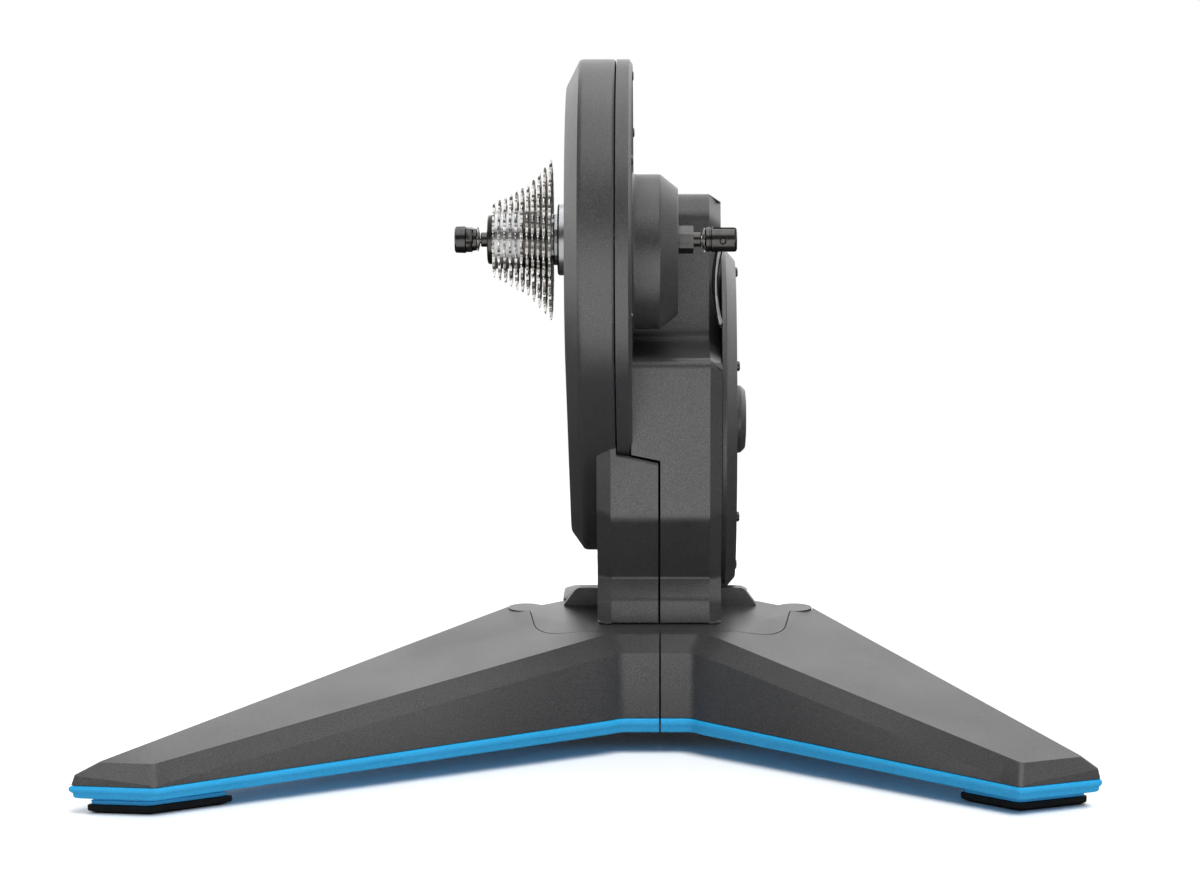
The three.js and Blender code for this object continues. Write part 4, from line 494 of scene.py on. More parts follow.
def clear_of_saddle(piece, leg, margin):
    """A leg's piece with room for the saddle and its ear; the slivers that the cut has parted from it go."""
    levels = (ROOM_FLOOR, ROOM_TOP)
    cut_away(piece, skinned("saddle_room", [saddle_ring(margin, height) for height in levels]),
             pivot_round(leg, EAR_RADIUS + margin, *levels))
    mesh = opened(piece)
    left, bodies = set(mesh.verts), []
    while left:
        front = [left.pop()]
        body = list(front)
        while front:
            vert = front.pop()
            near = {edge.other_vert(vert) for edge in vert.link_edges} & left
            left -= near
            front += near
            body += near
        bodies.append(body)
    bodies.sort(key=len)
    for body in bodies[:-1]:
        bmesh.ops.delete(mesh, geom=body, context="VERTS")
    return closed(piece, mesh)


for side_name, leg in LEGS.items():
    shell = in_strips(skinned(side_name + "_leg_moulding", [
        leg_ring(leg, 15.0, 6.0, 10.0, LEG_LOW, TIP_LOW),
        leg_ring(leg, 14.0, 5.0, 9.0, LEG_SHOULDER, TIP_SHOULDER, TIP_OUTER_SHOULDER),
        leg_ring(leg, 0.0, 0.0, 0.0, SADDLE_TOP, LEG_TIP_TOP),
    ], leg_end_faces(), leg_end_faces()), leg)
    clear_of_saddle(shell, leg, SHELL_GAP)
    eased(shell, 0.9, 3)
    fitted(shell, side_name + "_leg", charcoal, side_name + "_leg_shell")

# Blue trim under the legs. A bright blue plastic tray closes each leg from below. A round bead over a flat
# band runs along its edge, and a raised part at the tip carries the foot.
TRAY_PROFILE = [(-2.0, 0.0), (-1.1, 0.05), (-0.6, 0.14), (-0.4, 0.44), (0.1, 0.5), (0.5, 0.59), (0.7, 0.72),
                (0.6, 0.85), (0.1, 0.95), (-1.0, 1.0)]
RISER_PROFILE = [(-1.2, 5.8), (-1.0, 8.2), (-1.7, 8.6), (-1.7, 9.1), (-1.0, 9.5), (-1.0, 13.0)]
TRAY_GAP = 0.3
TRAY_DEPTH, TRAY_TIP_DEPTH, TRAY_TIP_BASE = 10.0, 8.6, 11.4
blue = ("blue_plastic", grained_plastic("blue_plastic_smooth", (0.022, 0.45, 0.9), 0.38, 0.00008, 1.1))


def smoothed(piece, angle):
    """Smooth shading, apart from the edges that turn by more than the angle."""
    for face in piece.data.polygons:
        face.use_smooth = True
    piece.data.set_sharp_from_angle(angle=math.radians(angle))
    return piece


def toward(start, end, distance):
    run = distance / math.hypot(end[0] - start[0], end[1] - start[1])
    return (start[0] + (end[0] - start[0]) * run, start[1] + (end[1] - start[1]) * run)


def foot_ring(leg, growth, height, bend=4):
    """One level of a foot, which follows the tip of its leg."""
    sides = grown(leg_corners(leg), [0, 0, 0, *leg["foot_growth"], 0, 0])
    corner, front, outer, heel = sides[3:7]
    outline = [toward(front, corner, leg["foot"][0]), front, outer, toward(outer, heel, leg["foot"][1])]
    places = [spot(SEAM + leg["sign"] * x, y, height) for x, y in grown(outline, [growth] * 4)]
    return rounded(places, [bend] * 4)


for side_name, leg in LEGS.items():
    tray = skinned(side_name + "_leg_tray", [
        leg_ring(leg, 15.1 + out, 6.1 + out, 10.1 + out, SADDLE_BASE + TRAY_DEPTH * up,
                 TRAY_TIP_BASE + TRAY_TIP_DEPTH * up) for out, up in TRAY_PROFILE
    ], leg_end_faces(), leg_end_faces())
    smoothed(clear_of_saddle(tray, leg, TRAY_GAP), 40)
    fitted(tray, side_name + "_leg", blue, side_name + "_leg_pan")
    riser = skinned(side_name + "_foot_riser", [foot_ring(leg, out, height) for out, height in RISER_PROFILE])
    fitted(smoothed(riser, 40), side_name + "_leg", blue)

# Feet. Black rubber pads under the tips of the two front legs, pressed into the blue risers. A bevel runs
# round the edge that stands on the floor.
PAD_PROFILE = [(-2.2, 0.0), (-0.2, 1.6), (0.0, 2.2), (0.0, 5.5)]


def black_rubber():
    material, tree, shader, place = new_finish("black_rubber_pad")
    dust = noise(tree, place, 420.0, 5.0)
    fed(tree, shader, {
        "Base Color": tinted(tree, dust, 0.0, 1.0, (0.006, 0.006, 0.0065), (0.022, 0.022, 0.023)),
        "Normal": bumped(tree, dust, 0.3, 0.0003), "Roughness": 0.8, "Specular IOR Level": 0.25})
    return material


rubber = ("rubber", black_rubber())
for side_name, leg in LEGS.items():
    pad = skinned(side_name + "_foot_pad", [foot_ring(leg, out, height) for out, height in PAD_PROFILE])
    eased(pad, 0.4, 2)
    fitted(pad, side_name + "_leg", rubber, side_name + "_foot")

# Rear beam. A bevelled spine runs back from the saddle and falls to a low cross bar, both in charcoal
# plastic. A blue tray closes the cross bar from below, and two rubber pads are pressed into it under its
# ends.
BEAM_LEFT, BEAM_RIGHT, BEAM_FRONT, BEAM_BACK = 6.0, 90.0, 78.3, 392.0
BEAM_LEVELS = [(0, 13.0, 13.0), (0, 58.0, 20.0), (8.0, 66.0, 24.0)]
BAR_LEFT, BAR_RIGHT, BAR_FRONT, BAR_BACK, BAR_BEND = -28.0, 114.0, 378.0, 424.0, 8
BAR_LEVELS = [(0, 11.7), (0, 14.5), (-5.0, 17.0)]
BAR_TRAY_PROFILE = [(-1.5, 5.8), (-0.6, 6.4), (-0.3, 8.0), (-1.0, 8.5), (-0.2, 9.0), (0.6, 9.9), (0.6, 10.7),
                    (0.2, 11.4)]
REAR_PAD, REAR_PAD_INSET, REAR_PAD_LEVELS = 44.0, 3.0, [(-2.0, 0), (0, 1.8), (0, 5.5)]


def beam_ring(inset, body_height, end_height):
    left, right = BEAM_LEFT + inset, BEAM_RIGHT - inset
    return [spot(left, BEAM_FRONT, body_height), spot(right, BEAM_FRONT, body_height),
            spot(right, BEAM_BACK, end_height), spot(left, BEAM_BACK, end_height)]


def bar_ring(growth, height):
    return block_ring(BAR_LEFT - growth, BAR_RIGHT + growth, BAR_FRONT - growth, BAR_BACK + growth, height,
                      [BAR_BEND] * 4)


spine = skinned("rear_spine_moulding", [beam_ring(*level) for level in BEAM_LEVELS])
eased(spine, 2.5, 3)
fitted(spine, "base", charcoal, "rear_beam")
cross_bar = skinned("rear_cross_bar", [bar_ring(*level) for level in BAR_LEVELS])
eased(cross_bar, 1.2, 3)
fitted(cross_bar, "base", charcoal)
rear_tray = skinned("rear_bar_tray", [bar_ring(*level) for level in BAR_TRAY_PROFILE])
fitted(smoothed(rear_tray, 40), "base", blue, "rear_tray")
for pad_name, left in (("rear_pad_left", BAR_LEFT + REAR_PAD_INSET),
                       ("rear_pad_right", BAR_RIGHT - REAR_PAD_INSET - REAR_PAD)):
    pad = skinned(pad_name + "_rubber", [
        block_ring(left - out, left + REAR_PAD + out, BAR_FRONT + REAR_PAD_INSET - out,
                   BAR_BACK - REAR_PAD_INSET + out, height, [4] * 4) for out, height in REAR_PAD_LEVELS])
    eased(pad, 0.4, 2)
    fitted(pad, "base", rubber, pad_name)

# Tower, right half. A deep charcoal moulding with a flat front face, a ledge under the boss and a narrower
# upper part. It bends in at the knee, stands on a wider foot, and its rear follows the round of the
# flywheel.
FLYWHEEL_BACK, FLYWHEEL_HEIGHT, HOUSING_RADIUS = 120.0, 200.0, 118.0
FOOT_FACE, TOWER_BOTTOM, TOWER_FOOT_BACK = 2.0, 80.3, 190.0
KNEE_BACK, KNEE_HEIGHT, ANKLE_BACK, ANKLE_HEIGHT, HEEL_HEIGHT = -24.0, 157.0, 12.0, 110.3, 97.6
CREST_BACK, CREST_HEIGHT, LEDGE_HEIGHT = 84.0, 362.0, 265.0
TOWER_LEFT, TOWER_SHOULDER, TOWER_RIGHT = 27.3, 79.4, 87.4
HOUSING_STEPS = 36
TOWER_BEVEL, CREST_BEVELS = 6.0, (6.0, 14.0, 12.0)
LOWER_FACE = [(KNEE_BACK, KNEE_HEIGHT), (ANKLE_BACK, ANKLE_HEIGHT), (FOOT_FACE, HEEL_HEIGHT)]
LOWER_BENDS = [5, 3, 3]


def side_places(outline, across, bends):
    """Places of a side outline, from pairs of distance behind the axle and height, at one distance across."""
    return rounded([spot(across, back, height) for back, height in outline], bends, 4)


def tower_outline():
    """The foot, the round of the housing, the crest, the upper face, the ledge and the lower face."""
    start = -math.acos((TOWER_FOOT_BACK - FLYWHEEL_BACK) / HOUSING_RADIUS)
    crest = (CREST_BACK - FLYWHEEL_BACK, CREST_HEIGHT - FLYWHEEL_HEIGHT)
    end = math.atan2(crest[1], crest[0]) - math.acos(HOUSING_RADIUS / math.hypot(*crest))
    angles = [start + (end - start) * i / HOUSING_STEPS for i in range(HOUSING_STEPS + 1)]
    housing = [(FLYWHEEL_BACK + HOUSING_RADIUS * math.cos(angle),
                FLYWHEEL_HEIGHT + HOUSING_RADIUS * math.sin(angle)) for angle in angles]
    upper = [(CREST_BACK, CREST_HEIGHT), (72.0, CREST_HEIGHT), (60.0, 350.0), (60.0, LEDGE_HEIGHT),
             (-20.0, LEDGE_HEIGHT), (KNEE_BACK, 261.0)]
    outline = [(FOOT_FACE, TOWER_BOTTOM), (TOWER_FOOT_BACK, TOWER_BOTTOM), *housing, *upper, *LOWER_FACE]
    return outline, [0] * (len(housing) + 2) + [5, 5, 5, 8, 3, 3] + LOWER_BENDS


def left_outline(top):
    return [(FOOT_FACE, TOWER_BOTTOM), (60.0, TOWER_BOTTOM), (60.0, 142.0), (10.0, 192.4), (10.0, top),
            (KNEE_BACK, top), *LOWER_FACE]


LEFT_BENDS = [0, 3, 3, 3, 3, 2] + LOWER_BENDS


def left_lower_half(name, margin):
    """The lower left half of the tower beyond the belt cover, or the room for it."""
    rings = []
    for top, across in ((202.4, 13.5), (195.4, 45.0 + margin)):
        outline = left_outline(top)
        rings.append(side_places(grown(outline, [margin] * len(outline)), across, LEFT_BENDS))
    return skinned(name, rings)


outline, bends = tower_outline()
bevels = [0] + [TOWER_BEVEL] * (len(outline) - 1)
bevels[-9:-6] = CREST_BEVELS
beveled = grown(outline, [-bevel for bevel in bevels])
tower = skinned("tower_right_moulding", [
    side_places(outline, TOWER_LEFT, bends), side_places(outline, TOWER_SHOULDER, bends),
    side_places(beveled, TOWER_RIGHT, bends)])
cut_away(tower, left_lower_half("left_half_room", 1.5))
eased(tower, 1.8, 3)
fitted(tower, "base", charcoal, "tower_right_shell")

# Tower, left half. It is moulded in charcoal plastic with the belt cover and meets the right half at a dark
# seam down the front. A thin lip runs round the foot of each half, where it is bolted down on the saddle.
LEFT_TOP, LEFT_BEVEL = 245.0, 7.0
LEFT_FACE, LEFT_SHOULDER, LEFT_INNER = 4.1, 13.5, 17.0
LIPS = [("left_foot_lip", LEFT_FACE, 45.0, [8, 0, 0, 0]), ("right_foot_lip", 46.7, TOWER_RIGHT, [0, 8, 0, 0])]
LIP_BACK, LIP_LEVELS = 58.0, [(80.2, 0.3), (80.6, 0.0), (81.6, 0.0), (82.1, 0.5)]
left_half = left_lower_half("tower_left_moulding", 0.0)
upper = left_outline(LEFT_TOP)
upper_in = grown(upper, [0] + [-LEFT_BEVEL] * (len(upper) - 1))
joined(left_half, skinned("tower_left_shoulder", [
    side_places(upper_in, LEFT_FACE, LEFT_BENDS), side_places(upper, LEFT_SHOULDER, LEFT_BENDS),
    side_places(upper, LEFT_INNER, LEFT_BENDS)]))
eased(left_half, 1.6, 3)
fitted(left_half, "base", charcoal, "left_body_cover")
for lip_name, left, right, lip_bends in LIPS:
    lip = skinned(lip_name, [
        block_ring(left + inset, right - inset, FOOT_FACE + inset, LIP_BACK, height, lip_bends)
        for height, inset in LIP_LEVELS])
    fitted(smoothed(lip, 50), "base", charcoal)

# Belt case. A cover and a back plate of charcoal plastic, drop shaped round the large pulley and the small
# one. The cover has a broad bevel round its face, and a narrow dark joint divides it from the plate.
AXLE_POINT = spot(0, 0, AXLE_HEIGHT)
WHEEL_POINT = spot(0, FLYWHEEL_BACK, FLYWHEEL_HEIGHT)
COVER_SIZES = {"Top Radius": 118.5, "Low Radius": 91.0, "Top Bevel": 16.5, "Low Bevel": 12.0,
               "Face": -15.0, "Rim": -4.9, "Back": 17.2, "Easing": 1.6}
HOLLOW_SIZES = {"Top Radius": 115.5, "Low Radius": 88.0, "Top Bevel": 16.5, "Low Bevel": 12.0,
                "Face": -12.0, "Rim": -1.9, "Back": 19.0, "Easing": 1.0}
PLATE_SIZES = {"Top Radius": 118.5, "Low Radius": 91.0, "Top Bevel": 3.0, "Low Bevel": 3.0,
               "Face": 27.0, "Rim": 25.0, "Back": 18.8, "Easing": 1.0}
CASE_LEVELS = [("Face", 1.0, 0.0, 1.0), ("Face", 1.0, 0.3, 0.3), ("Face", 1.0, 1.0, 0.0),
               ("Rim", 0.0, -1.0, 0.6), ("Rim", 0.0, 0.0, 0.12), ("Rim", 0.0, 1.0, 0.0),
               ("Back", 0.0, -1.0, 0.0), ("Back", 0.0, -0.3, 0.3), ("Back", 0.0, 0.0, 1.0)]
CASE_STEPS = {"Top": 160, "Low": 128}
WELD, FLAT, CREASE = 0.00002, 0.6, 22
HUB_HOLE = 25.0


def geometry_tree(name, **kinds):
    """A node tree that takes and gives a mesh, and the outputs of its inputs, which are named by kind."""
    tree = bpy.data.node_groups.new(name, "GeometryNodeTree")
    tree.interface.new_socket("Geometry", in_out="INPUT", socket_type="NodeSocketGeometry")
    tree.interface.new_socket("Geometry", in_out="OUTPUT", socket_type="NodeSocketGeometry")
    for kind, labels in kinds.items():
        for label in labels:
            tree.interface.new_socket(label, in_out="INPUT", socket_type="NodeSocket" + kind)
    return tree, added(tree, "NodeGroupInput").outputs


def dressed(tree, shape, material):
    """The end of a tree: a real mesh in its finish."""
    real = added(tree, "GeometryNodeRealizeInstances", {"Geometry": shape})
    finished = added(tree, "GeometryNodeSetMaterial", {"Geometry": real, "Material": material})
    added(tree, "NodeGroupOutput", {"Geometry": finished})
    return tree


def grown_from(tree, name, values, source=None):
    """A plain mesh made by a node tree from its named values."""
    piece = linked(name, source or bpy.data.meshes.new(name))
    modifier = piece.modifiers.new("made_by_nodes", "NODES")
    modifier.node_group = tree
    for item in tree.interface.items_tree:
        if item.item_type == "SOCKET" and item.in_out == "INPUT" and item.name in values:
            modifier[item.identifier] = values[item.name]
    return made_plain(piece)


def drop_case_tree():
    """The hull of rings round two centres, which gives a face, a bevel, a rim and a back with eased edges."""
    tree, given = geometry_tree("drop_case", Float=tuple(COVER_SIZES), Vector=("Low Centre", "Top Centre"),
                                Material=("Material",))
    rings = added(tree, "GeometryNodeJoinGeometry")
    for end, steps in CASE_STEPS.items():
        for level, bevel_share, along, inward in CASE_LEVELS:
            bevel = worked(tree, "MULTIPLY", given[end + " Bevel"], bevel_share)
            easing = worked(tree, "MULTIPLY", given["Easing"], inward)
            radius = worked(tree, "SUBTRACT", worked(tree, "SUBTRACT", given[end + " Radius"], bevel), easing)
            across = worked(tree, "ADD", given[level], worked(tree, "MULTIPLY", given["Easing"], along))
            level_place = added(tree, "ShaderNodeCombineXYZ", {"X": across})
            centre = added(tree, "ShaderNodeVectorMath", {0: level_place, 1: given[end + " Centre"]},
                           operation="ADD")
            circle = added(tree, "GeometryNodeMeshCircle", {"Vertices": steps, "Radius": radius})
            put = added(tree, "GeometryNodeTransform", {
                "Geometry": circle, "Translation": centre, "Rotation": (0, math.pi / 2, 0)})
            fed(tree, rings, {"Geometry": put})
    hull = added(tree, "GeometryNodeConvexHull", {"Geometry": rings})
    return dressed(tree, hull, given["Material"])


def case_part(name, sizes):
    values = {label: size / 1000 for label, size in sizes.items()}
    part = grown_from(drop_case, name, {
        **values, "Top Centre": tuple(AXLE_POINT), "Low Centre": tuple(WHEEL_POINT), "Material": charcoal[1]})
    mesh = opened(part)
    bmesh.ops.remove_doubles(mesh, verts=mesh.verts, dist=WELD)
    bmesh.ops.dissolve_limit(mesh, angle_limit=math.radians(FLAT), verts=mesh.verts, edges=mesh.edges)
    return smoothed(closed(part, mesh), CREASE)


drop_case = drop_case_tree()
belt_cover = case_part("belt_case_cover", COVER_SIZES)
hub_hole = skinned("hub_hole", [
    [AXLE_POINT + Vector((across, HUB_HOLE * c, HUB_HOLE * s)) / 1000 for c, s in turns(64)]
    for across in (-18.0, 0.0)])
cut_away(belt_cover, case_part("cover_hollow", HOLLOW_SIZES), hub_hole)
belt_cover.data.set_sharp_from_angle(angle=math.radians(CREASE))
fitted(belt_cover, "base", charcoal)
back_plate = case_part("belt_case_plate", PLATE_SIZES)
fitted(back_plate, "base", charcoal, "belt_case_back")

# Boss over the far end of the axle. A thick round moulding in charcoal plastic with a broad cone to its
# face. It stands on the ledge of the tower's right half and is bored for the axle.
BOSS_HEIGHT = 333.0
BOSS_PROFILE = [(27.3, 7.0), (27.3, 53.0), (29.5, 51.0), (46.2, 51.0), (58.1, 41.5), (58.1, 17.0),
                (57.0, 16.0), (57.0, 7.0)]


def spun(name, centre, profile, steps=96, start=0.0):
    """A body turned about a line across the trainer, from pairs of distance across and radius."""
    mesh = bmesh.new()
    rows = []
    for across, radius in profile:
        places = [(radius * c, radius * s) for c, s in turns(steps, start)] if radius else [(0, 0)]
        rows.append([mesh.verts.new(centre + Vector((across, y, z)) / 1000) for y, z in places])
    pairs = list(zip(rows, rows[1:]))
    if len(rows[0]) > 1 and len(rows[-1]) > 1:
        pairs.append((rows[-1], rows[0]))
    for low, high in pairs:
        for i in range(steps if len(low) + len(high) > 2 else 0):
            j = (i + 1) % steps
            if len(low) == 1:
                mesh.faces.new((low[0], high[j], high[i]))
            elif len(high) == 1:
                mesh.faces.new((low[i], low[j], high[0]))
            else:
                mesh.faces.new((low[i], low[j], high[j], high[i]))
    return linked(name, outward(name, mesh))


boss = spun("boss_moulding", spot(0, 0, BOSS_HEIGHT), BOSS_PROFILE, 128)
eased(boss, 1.2, 3)
fitted(boss, "base", charcoal, "axle_boss")

# Flywheel cover and its cap. A wide shallow disc closes the flywheel's housing, with a low round cap at its
# middle. Six black screws with hexagon sockets hold the cover, and four more the back plate of the belt
# case.
COVER_PROFILE = [(87.7, 16.3), (87.7, 118.0), (91.0, 118.0), (98.0, 110.0), (98.0, 60.0), (97.2, 59.0),
                 (97.2, 57.5), (98.0, 56.5), (98.0, 16.3)]
CAP_PROFILE = [(95.3, 0), (95.3, 11.7), (98.3, 11.7), (98.3, 23.5), (102.0, 23.5), (105.4, 20.0),
               (106.0, 12.0), (106.2, 0)]
SCREW_RADIUS = 3.4


def plated_metal(name, color, rough, scale, variation):
    """Metal whose colour and gloss vary a little in small clouds."""
    material, tree, shader, place = new_finish(name)
    marks = noise(tree, place, scale, 4.0)
    fed(tree, shader, {
        "Base Color": tinted(tree, marks, 0.3, 0.7, [c * (1 - variation) for c in color], color),
        "Roughness": share(tree, marks, 0.0, 1.0, rough * 0.75, rough * 1.3, "LINEAR"),
        "Normal": bumped(tree, marks, 0.12, 0.0001), "Metallic": 1.0})
    return material


def ring_of_copies_tree():
    """Copies of a mesh turned about a line across the trainer by equal steps, then moved to their centre."""
    tree, given = geometry_tree("ring_of_copies", Int=("Count",), Float=("Start", "Step"), Vector=("Centre",),
                                Material=("Material",))
    line = added(tree, "GeometryNodeMeshLine", {"Count": given["Count"], "Offset": (0, 0, 0)})
    number = added(tree, "GeometryNodeInputIndex")
    turn = worked(tree, "MULTIPLY_ADD", number, given["Step"], given["Start"])
    about = added(tree, "ShaderNodeCombineXYZ", {"X": turn})
    copies = added(tree, "GeometryNodeInstanceOnPoints", {
        "Points": line, "Instance": given["Geometry"], "Rotation": about})
    real = added(tree, "GeometryNodeRealizeInstances", {"Geometry": copies})
    merged = added(tree, "GeometryNodeMergeByDistance", {"Geometry": real, "Distance": WELD})
    put = added(tree, "GeometryNodeTransform", {"Geometry": merged, "Translation": given["Centre"]})
    return dressed(tree, put, given["Material"])


def screw_head(name, radius, face, size):
    """One screw head on a face across the trainer, at its radius from the centre of its ring."""
    middle = Vector((0, radius, 0)) / 1000
    head = spun(name, middle, [(face - 0.5, 0), (face - 0.5, size), (face + 1.2, size),
                               (face + 1.9, size - 0.9), (face + 1.9, 0)], 24)
    across = size * 0.45
    return cut_away(head, spun("socket", middle, [
        (face + 0.5, 0), (face + 0.5, across), (face + 3, across), (face + 3, 0)], 6))


def screw_ring(name, centre, radius, face, count, start, step):
    head = smoothed(screw_head(name + "_head", radius, face, SCREW_RADIUS), 30)
    screws = grown_from(ring_of_copies, name, {
        "Count": count, "Start": math.radians(start), "Step": math.radians(step), "Centre": tuple(centre),
        "Material": black_steel[1]}, head.data.copy())
    bpy.data.objects.remove(head)
    return fitted(screws, "base", black_steel)


black_steel = ("black_steel", plated_metal("black_oxide_steel", (0.11, 0.107, 0.104), 0.24, 320.0, 0.3))
ring_of_copies = ring_of_copies_tree()
wheel_cover = spun("flywheel_cover_disc", WHEEL_POINT, COVER_PROFILE, 160)
eased(wheel_cover, 1.0, 3)
fitted(wheel_cover, "base", charcoal, "flywheel_cover")
cap = spun("flywheel_cap_disc", WHEEL_POINT, CAP_PROFILE)
eased(cap, 1.0, 3)
fitted(cap, "base", charcoal, "flywheel_cap")
screw_ring("cover_screws", WHEEL_POINT, 103.0, 98.0, 6, 30, 60)
screw_ring("back_plate_screws", AXLE_POINT, 108.0, 27.0, 4, 35, 55)

# Cassette. Eleven nickel plated steel sprockets sit on the splined freehub under a black lockring. Every
# tooth is thinned at its tip and hollowed at its root. The five spacers by the small sprockets are
# aluminium and the rest black.
nickel = ("steel", plated_metal("nickel_plate", (0.82, 0.80, 0.77), 0.2, 260.0, 0.5))
aluminium = ("aluminium", plated_metal("machined_aluminium", (0.62, 0.63, 0.65), 0.3, 180.0, 0.2))
TEETH = [11, 12, 13, 14, 15, 16, 17, 19, 21, 23, 25]
CHAIN_PITCH, ROLLER_SEAT, TIP_RISE, TIP_THINNING = 12.7, 3.81, 2.4, 0.45
FIRST_SPROCKET, SPROCKET_PITCH, SPROCKET_THICKNESS = -64.0, 3.75, 1.7
SPROCKET_BORE, SPACER_RADIUS, ALUMINIUM_SPACERS = 17.1, 19.2, 5
LOCKRING_PROFILE = [(-67.5, 9.8), (-67.5, 14.6), (-66.8, 16.0), (-64.3, 16.4), (-64.3, 9.8)]


def tooth_share(name, teeth):
    """One tooth's share of a sprocket: a web, a hollow root on both sides and a tooth with a thin tip."""
    half = math.pi / teeth
    pitch_radius = CHAIN_PITCH / 2 / math.sin(half)
    tip, root = pitch_radius + TIP_RISE, pitch_radius - ROLLER_SEAT
    rise = [(-1.0, root + 0.9), (-0.72, root + 0.1), (-0.5, root + 1.3), (-0.36, pitch_radius),
            (-0.2, tip - 0.5), (-0.1, tip)]
    run = rise + [(-along, radius) for along, radius in rise[::-1]]
    mesh = bmesh.new()
    layers = []
    for across, inward in ((0.0, 1), (SPROCKET_THICKNESS, -1)):
        outer, inner = [], []
        for along, radius in run:
            c, s = math.cos(along * half), math.sin(along * half)
            thin = TIP_THINNING if radius > pitch_radius + 0.5 else 0.0
            outer.append(mesh.verts.new(Vector((across + inward * thin, radius * c, radius * s)) / 1000))
            inner.append(mesh.verts.new(Vector((across, SPROCKET_BORE * c, SPROCKET_BORE * s)) / 1000))
        layers.append((outer, inner))
    (outer0, inner0), (outer1, inner1) = layers
    for i in range(len(run) - 1):
        mesh.faces.new((outer0[i], outer0[i + 1], inner0[i + 1], inner0[i]))
        mesh.faces.new((outer1[i + 1], outer1[i], inner1[i], inner1[i + 1]))
        mesh.faces.new((outer0[i + 1], outer0[i], outer1[i], outer1[i + 1]))
        mesh.faces.new((inner0[i], inner0[i + 1], inner1[i + 1], inner1[i]))
    bmesh.ops.recalc_face_normals(mesh, faces=mesh.faces)
    data = bpy.data.meshes.new(name)
    mesh.to_mesh(data)
    mesh.free()
    return data


for number, teeth in enumerate(TEETH):
    across = FIRST_SPROCKET + number * SPROCKET_PITCH
    plate = grown_from(ring_of_copies, "sprocket_plate_%02d" % (number + 1), {
        "Count": teeth, "Start": 0.0, "Step": 2 * math.pi / teeth, "Material": nickel[1],
        "Centre": tuple(spot(across, 0, AXLE_HEIGHT))}, tooth_share("tooth_share", teeth))
    mesh = opened(plate)
    bmesh.ops.recalc_face_normals(mesh, faces=mesh.faces)
    closed(plate, mesh)
    fitted(plate, "cassette", nickel, "sprocket_%02d" % (number + 1))
    if number < len(TEETH) - 1:
        start, end = across + SPROCKET_THICKNESS, across + SPROCKET_PITCH
        spacer = spun("sprocket_spacer_%02d" % (number + 1), AXLE_POINT, [
            (start, SPROCKET_BORE), (start, SPACER_RADIUS), (end, SPACER_RADIUS), (end, SPROCKET_BORE)], 48)
        fitted(spacer, "cassette", aluminium if number < ALUMINIUM_SPACERS else black_steel)
lockring = spun("cassette_lockring_turned", AXLE_POINT, LOCKRING_PROFILE, 72)
eased(lockring, 0.3, 2)
fitted(lockring, "cassette", black_steel, "cassette_lockring")

# Hub of the large pulley. A turned aluminium drum fills the hole in the belt cover behind the cassette, and
# turns with the pulley. A black seal closes the gap between it and the axle.
HUB_PROFILE = [(-21.2, 17.2), (-21.2, 22.6), (-20.2, 23.6), (-13.0, 23.6), (-12.2, 22.8), (-8.0, 22.8),
               (-8.0, 17.2)]
SEAL_PROFILE = [(-24.4, 13.0), (-24.4, 16.2), (-23.8, 16.8), (-21.0, 16.8), (-21.0, 13.0)]
hub = spun("pulley_hub_turned", AXLE_POINT, HUB_PROFILE)
eased(hub, 0.3, 2)
fitted(hub, "drive_pulley", aluminium, "pulley_hub")
seal = spun("hub_seal", AXLE_POINT, SEAL_PROFILE, 72)
eased(seal, 0.2, 2)
fitted(seal, "drive_pulley", black_steel)

# Axle ends. Blackened steel fittings, each with a stub that carries the dropout. The one beside the
# cassette is turned round with a groove, and the far one is a six-sided nut.
AXLE_BORE = 3.2
DRIVE_END_PROFILE = [
    (-60.8, AXLE_BORE), (-60.8, 9.2), (-63.2, 9.2), (-63.6, 8.7), (-64.2, 8.7), (-64.6, 9.2), (-66.3, 9.2),
    (-66.75, 8.7), (-66.75, 4.8), (-71.4, 4.8), (-71.9, 4.3), (-71.9, AXLE_BORE)]
NUT_PROFILE = [(58.4, 0), (58.4, 9.3), (68.25, 9.3), (68.25, 0)]
STUB_PROFILE = [(66.0, 0), (66.0, 4.8), (72.9, 4.8), (73.4, 4.3), (73.4, 0)]
drive_end = spun("axle_end_drive_turned", AXLE_POINT, DRIVE_END_PROFILE, 64)
far_end = spun("axle_end_far_nut", AXLE_POINT, NUT_PROFILE, 6, math.pi / 6)
joined(far_end, spun("far_stub", AXLE_POINT, STUB_PROFILE, 64))
cut_away(far_end, spun("far_bore", AXLE_POINT, [
    (57.0, 0), (57.0, AXLE_BORE), (75.0, AXLE_BORE), (75.0, 0)], 64))
for axle_end, end_node in ((drive_end, "axle_end_drive"), (far_end, "axle_end_far")):
    eased(axle_end, 0.2, 2)
    fitted(axle_end, "base", black_steel, end_node)

# Quick release. A polished dark lever turns on a steel pin in a black cam housing, which is slotted for it.
# At the skewer's other end is a black nut with a round grip and a six-sided flare.
GRIP_PROFILE = [(-89.1, 0), (-89.1, 7.7), (-88.2, 8.7), (-82.3, 8.9), (-81.5, 8.2), (-76.9, 7.4),
                (-74.8, 7.2), (-74.6, 6.8), (-74.6, 0)]
FLARE_PROFILE = [(-82.4, 0), (-82.4, 8.2), (-81.6, 8.95), (-77.8, 8.95), (-76.9, 8.0), (-76.9, 0)]
CAM_PROFILE = [(75.9, 2.8), (75.9, 7.2), (76.7, 8.0), (78.9, 8.0), (79.3, 7.6), (79.9, 7.6), (80.4, 8.5),
               (95.4, 8.5), (96.5, 8.0), (97.0, 6.9), (97.0, 0), (79.9, 0), (79.9, 2.8)]
LEVER_LINE, LEVER_REACH, LEVER_SECTIONS, LEVER_STEPS = 87.6, 58.8, 44, 20
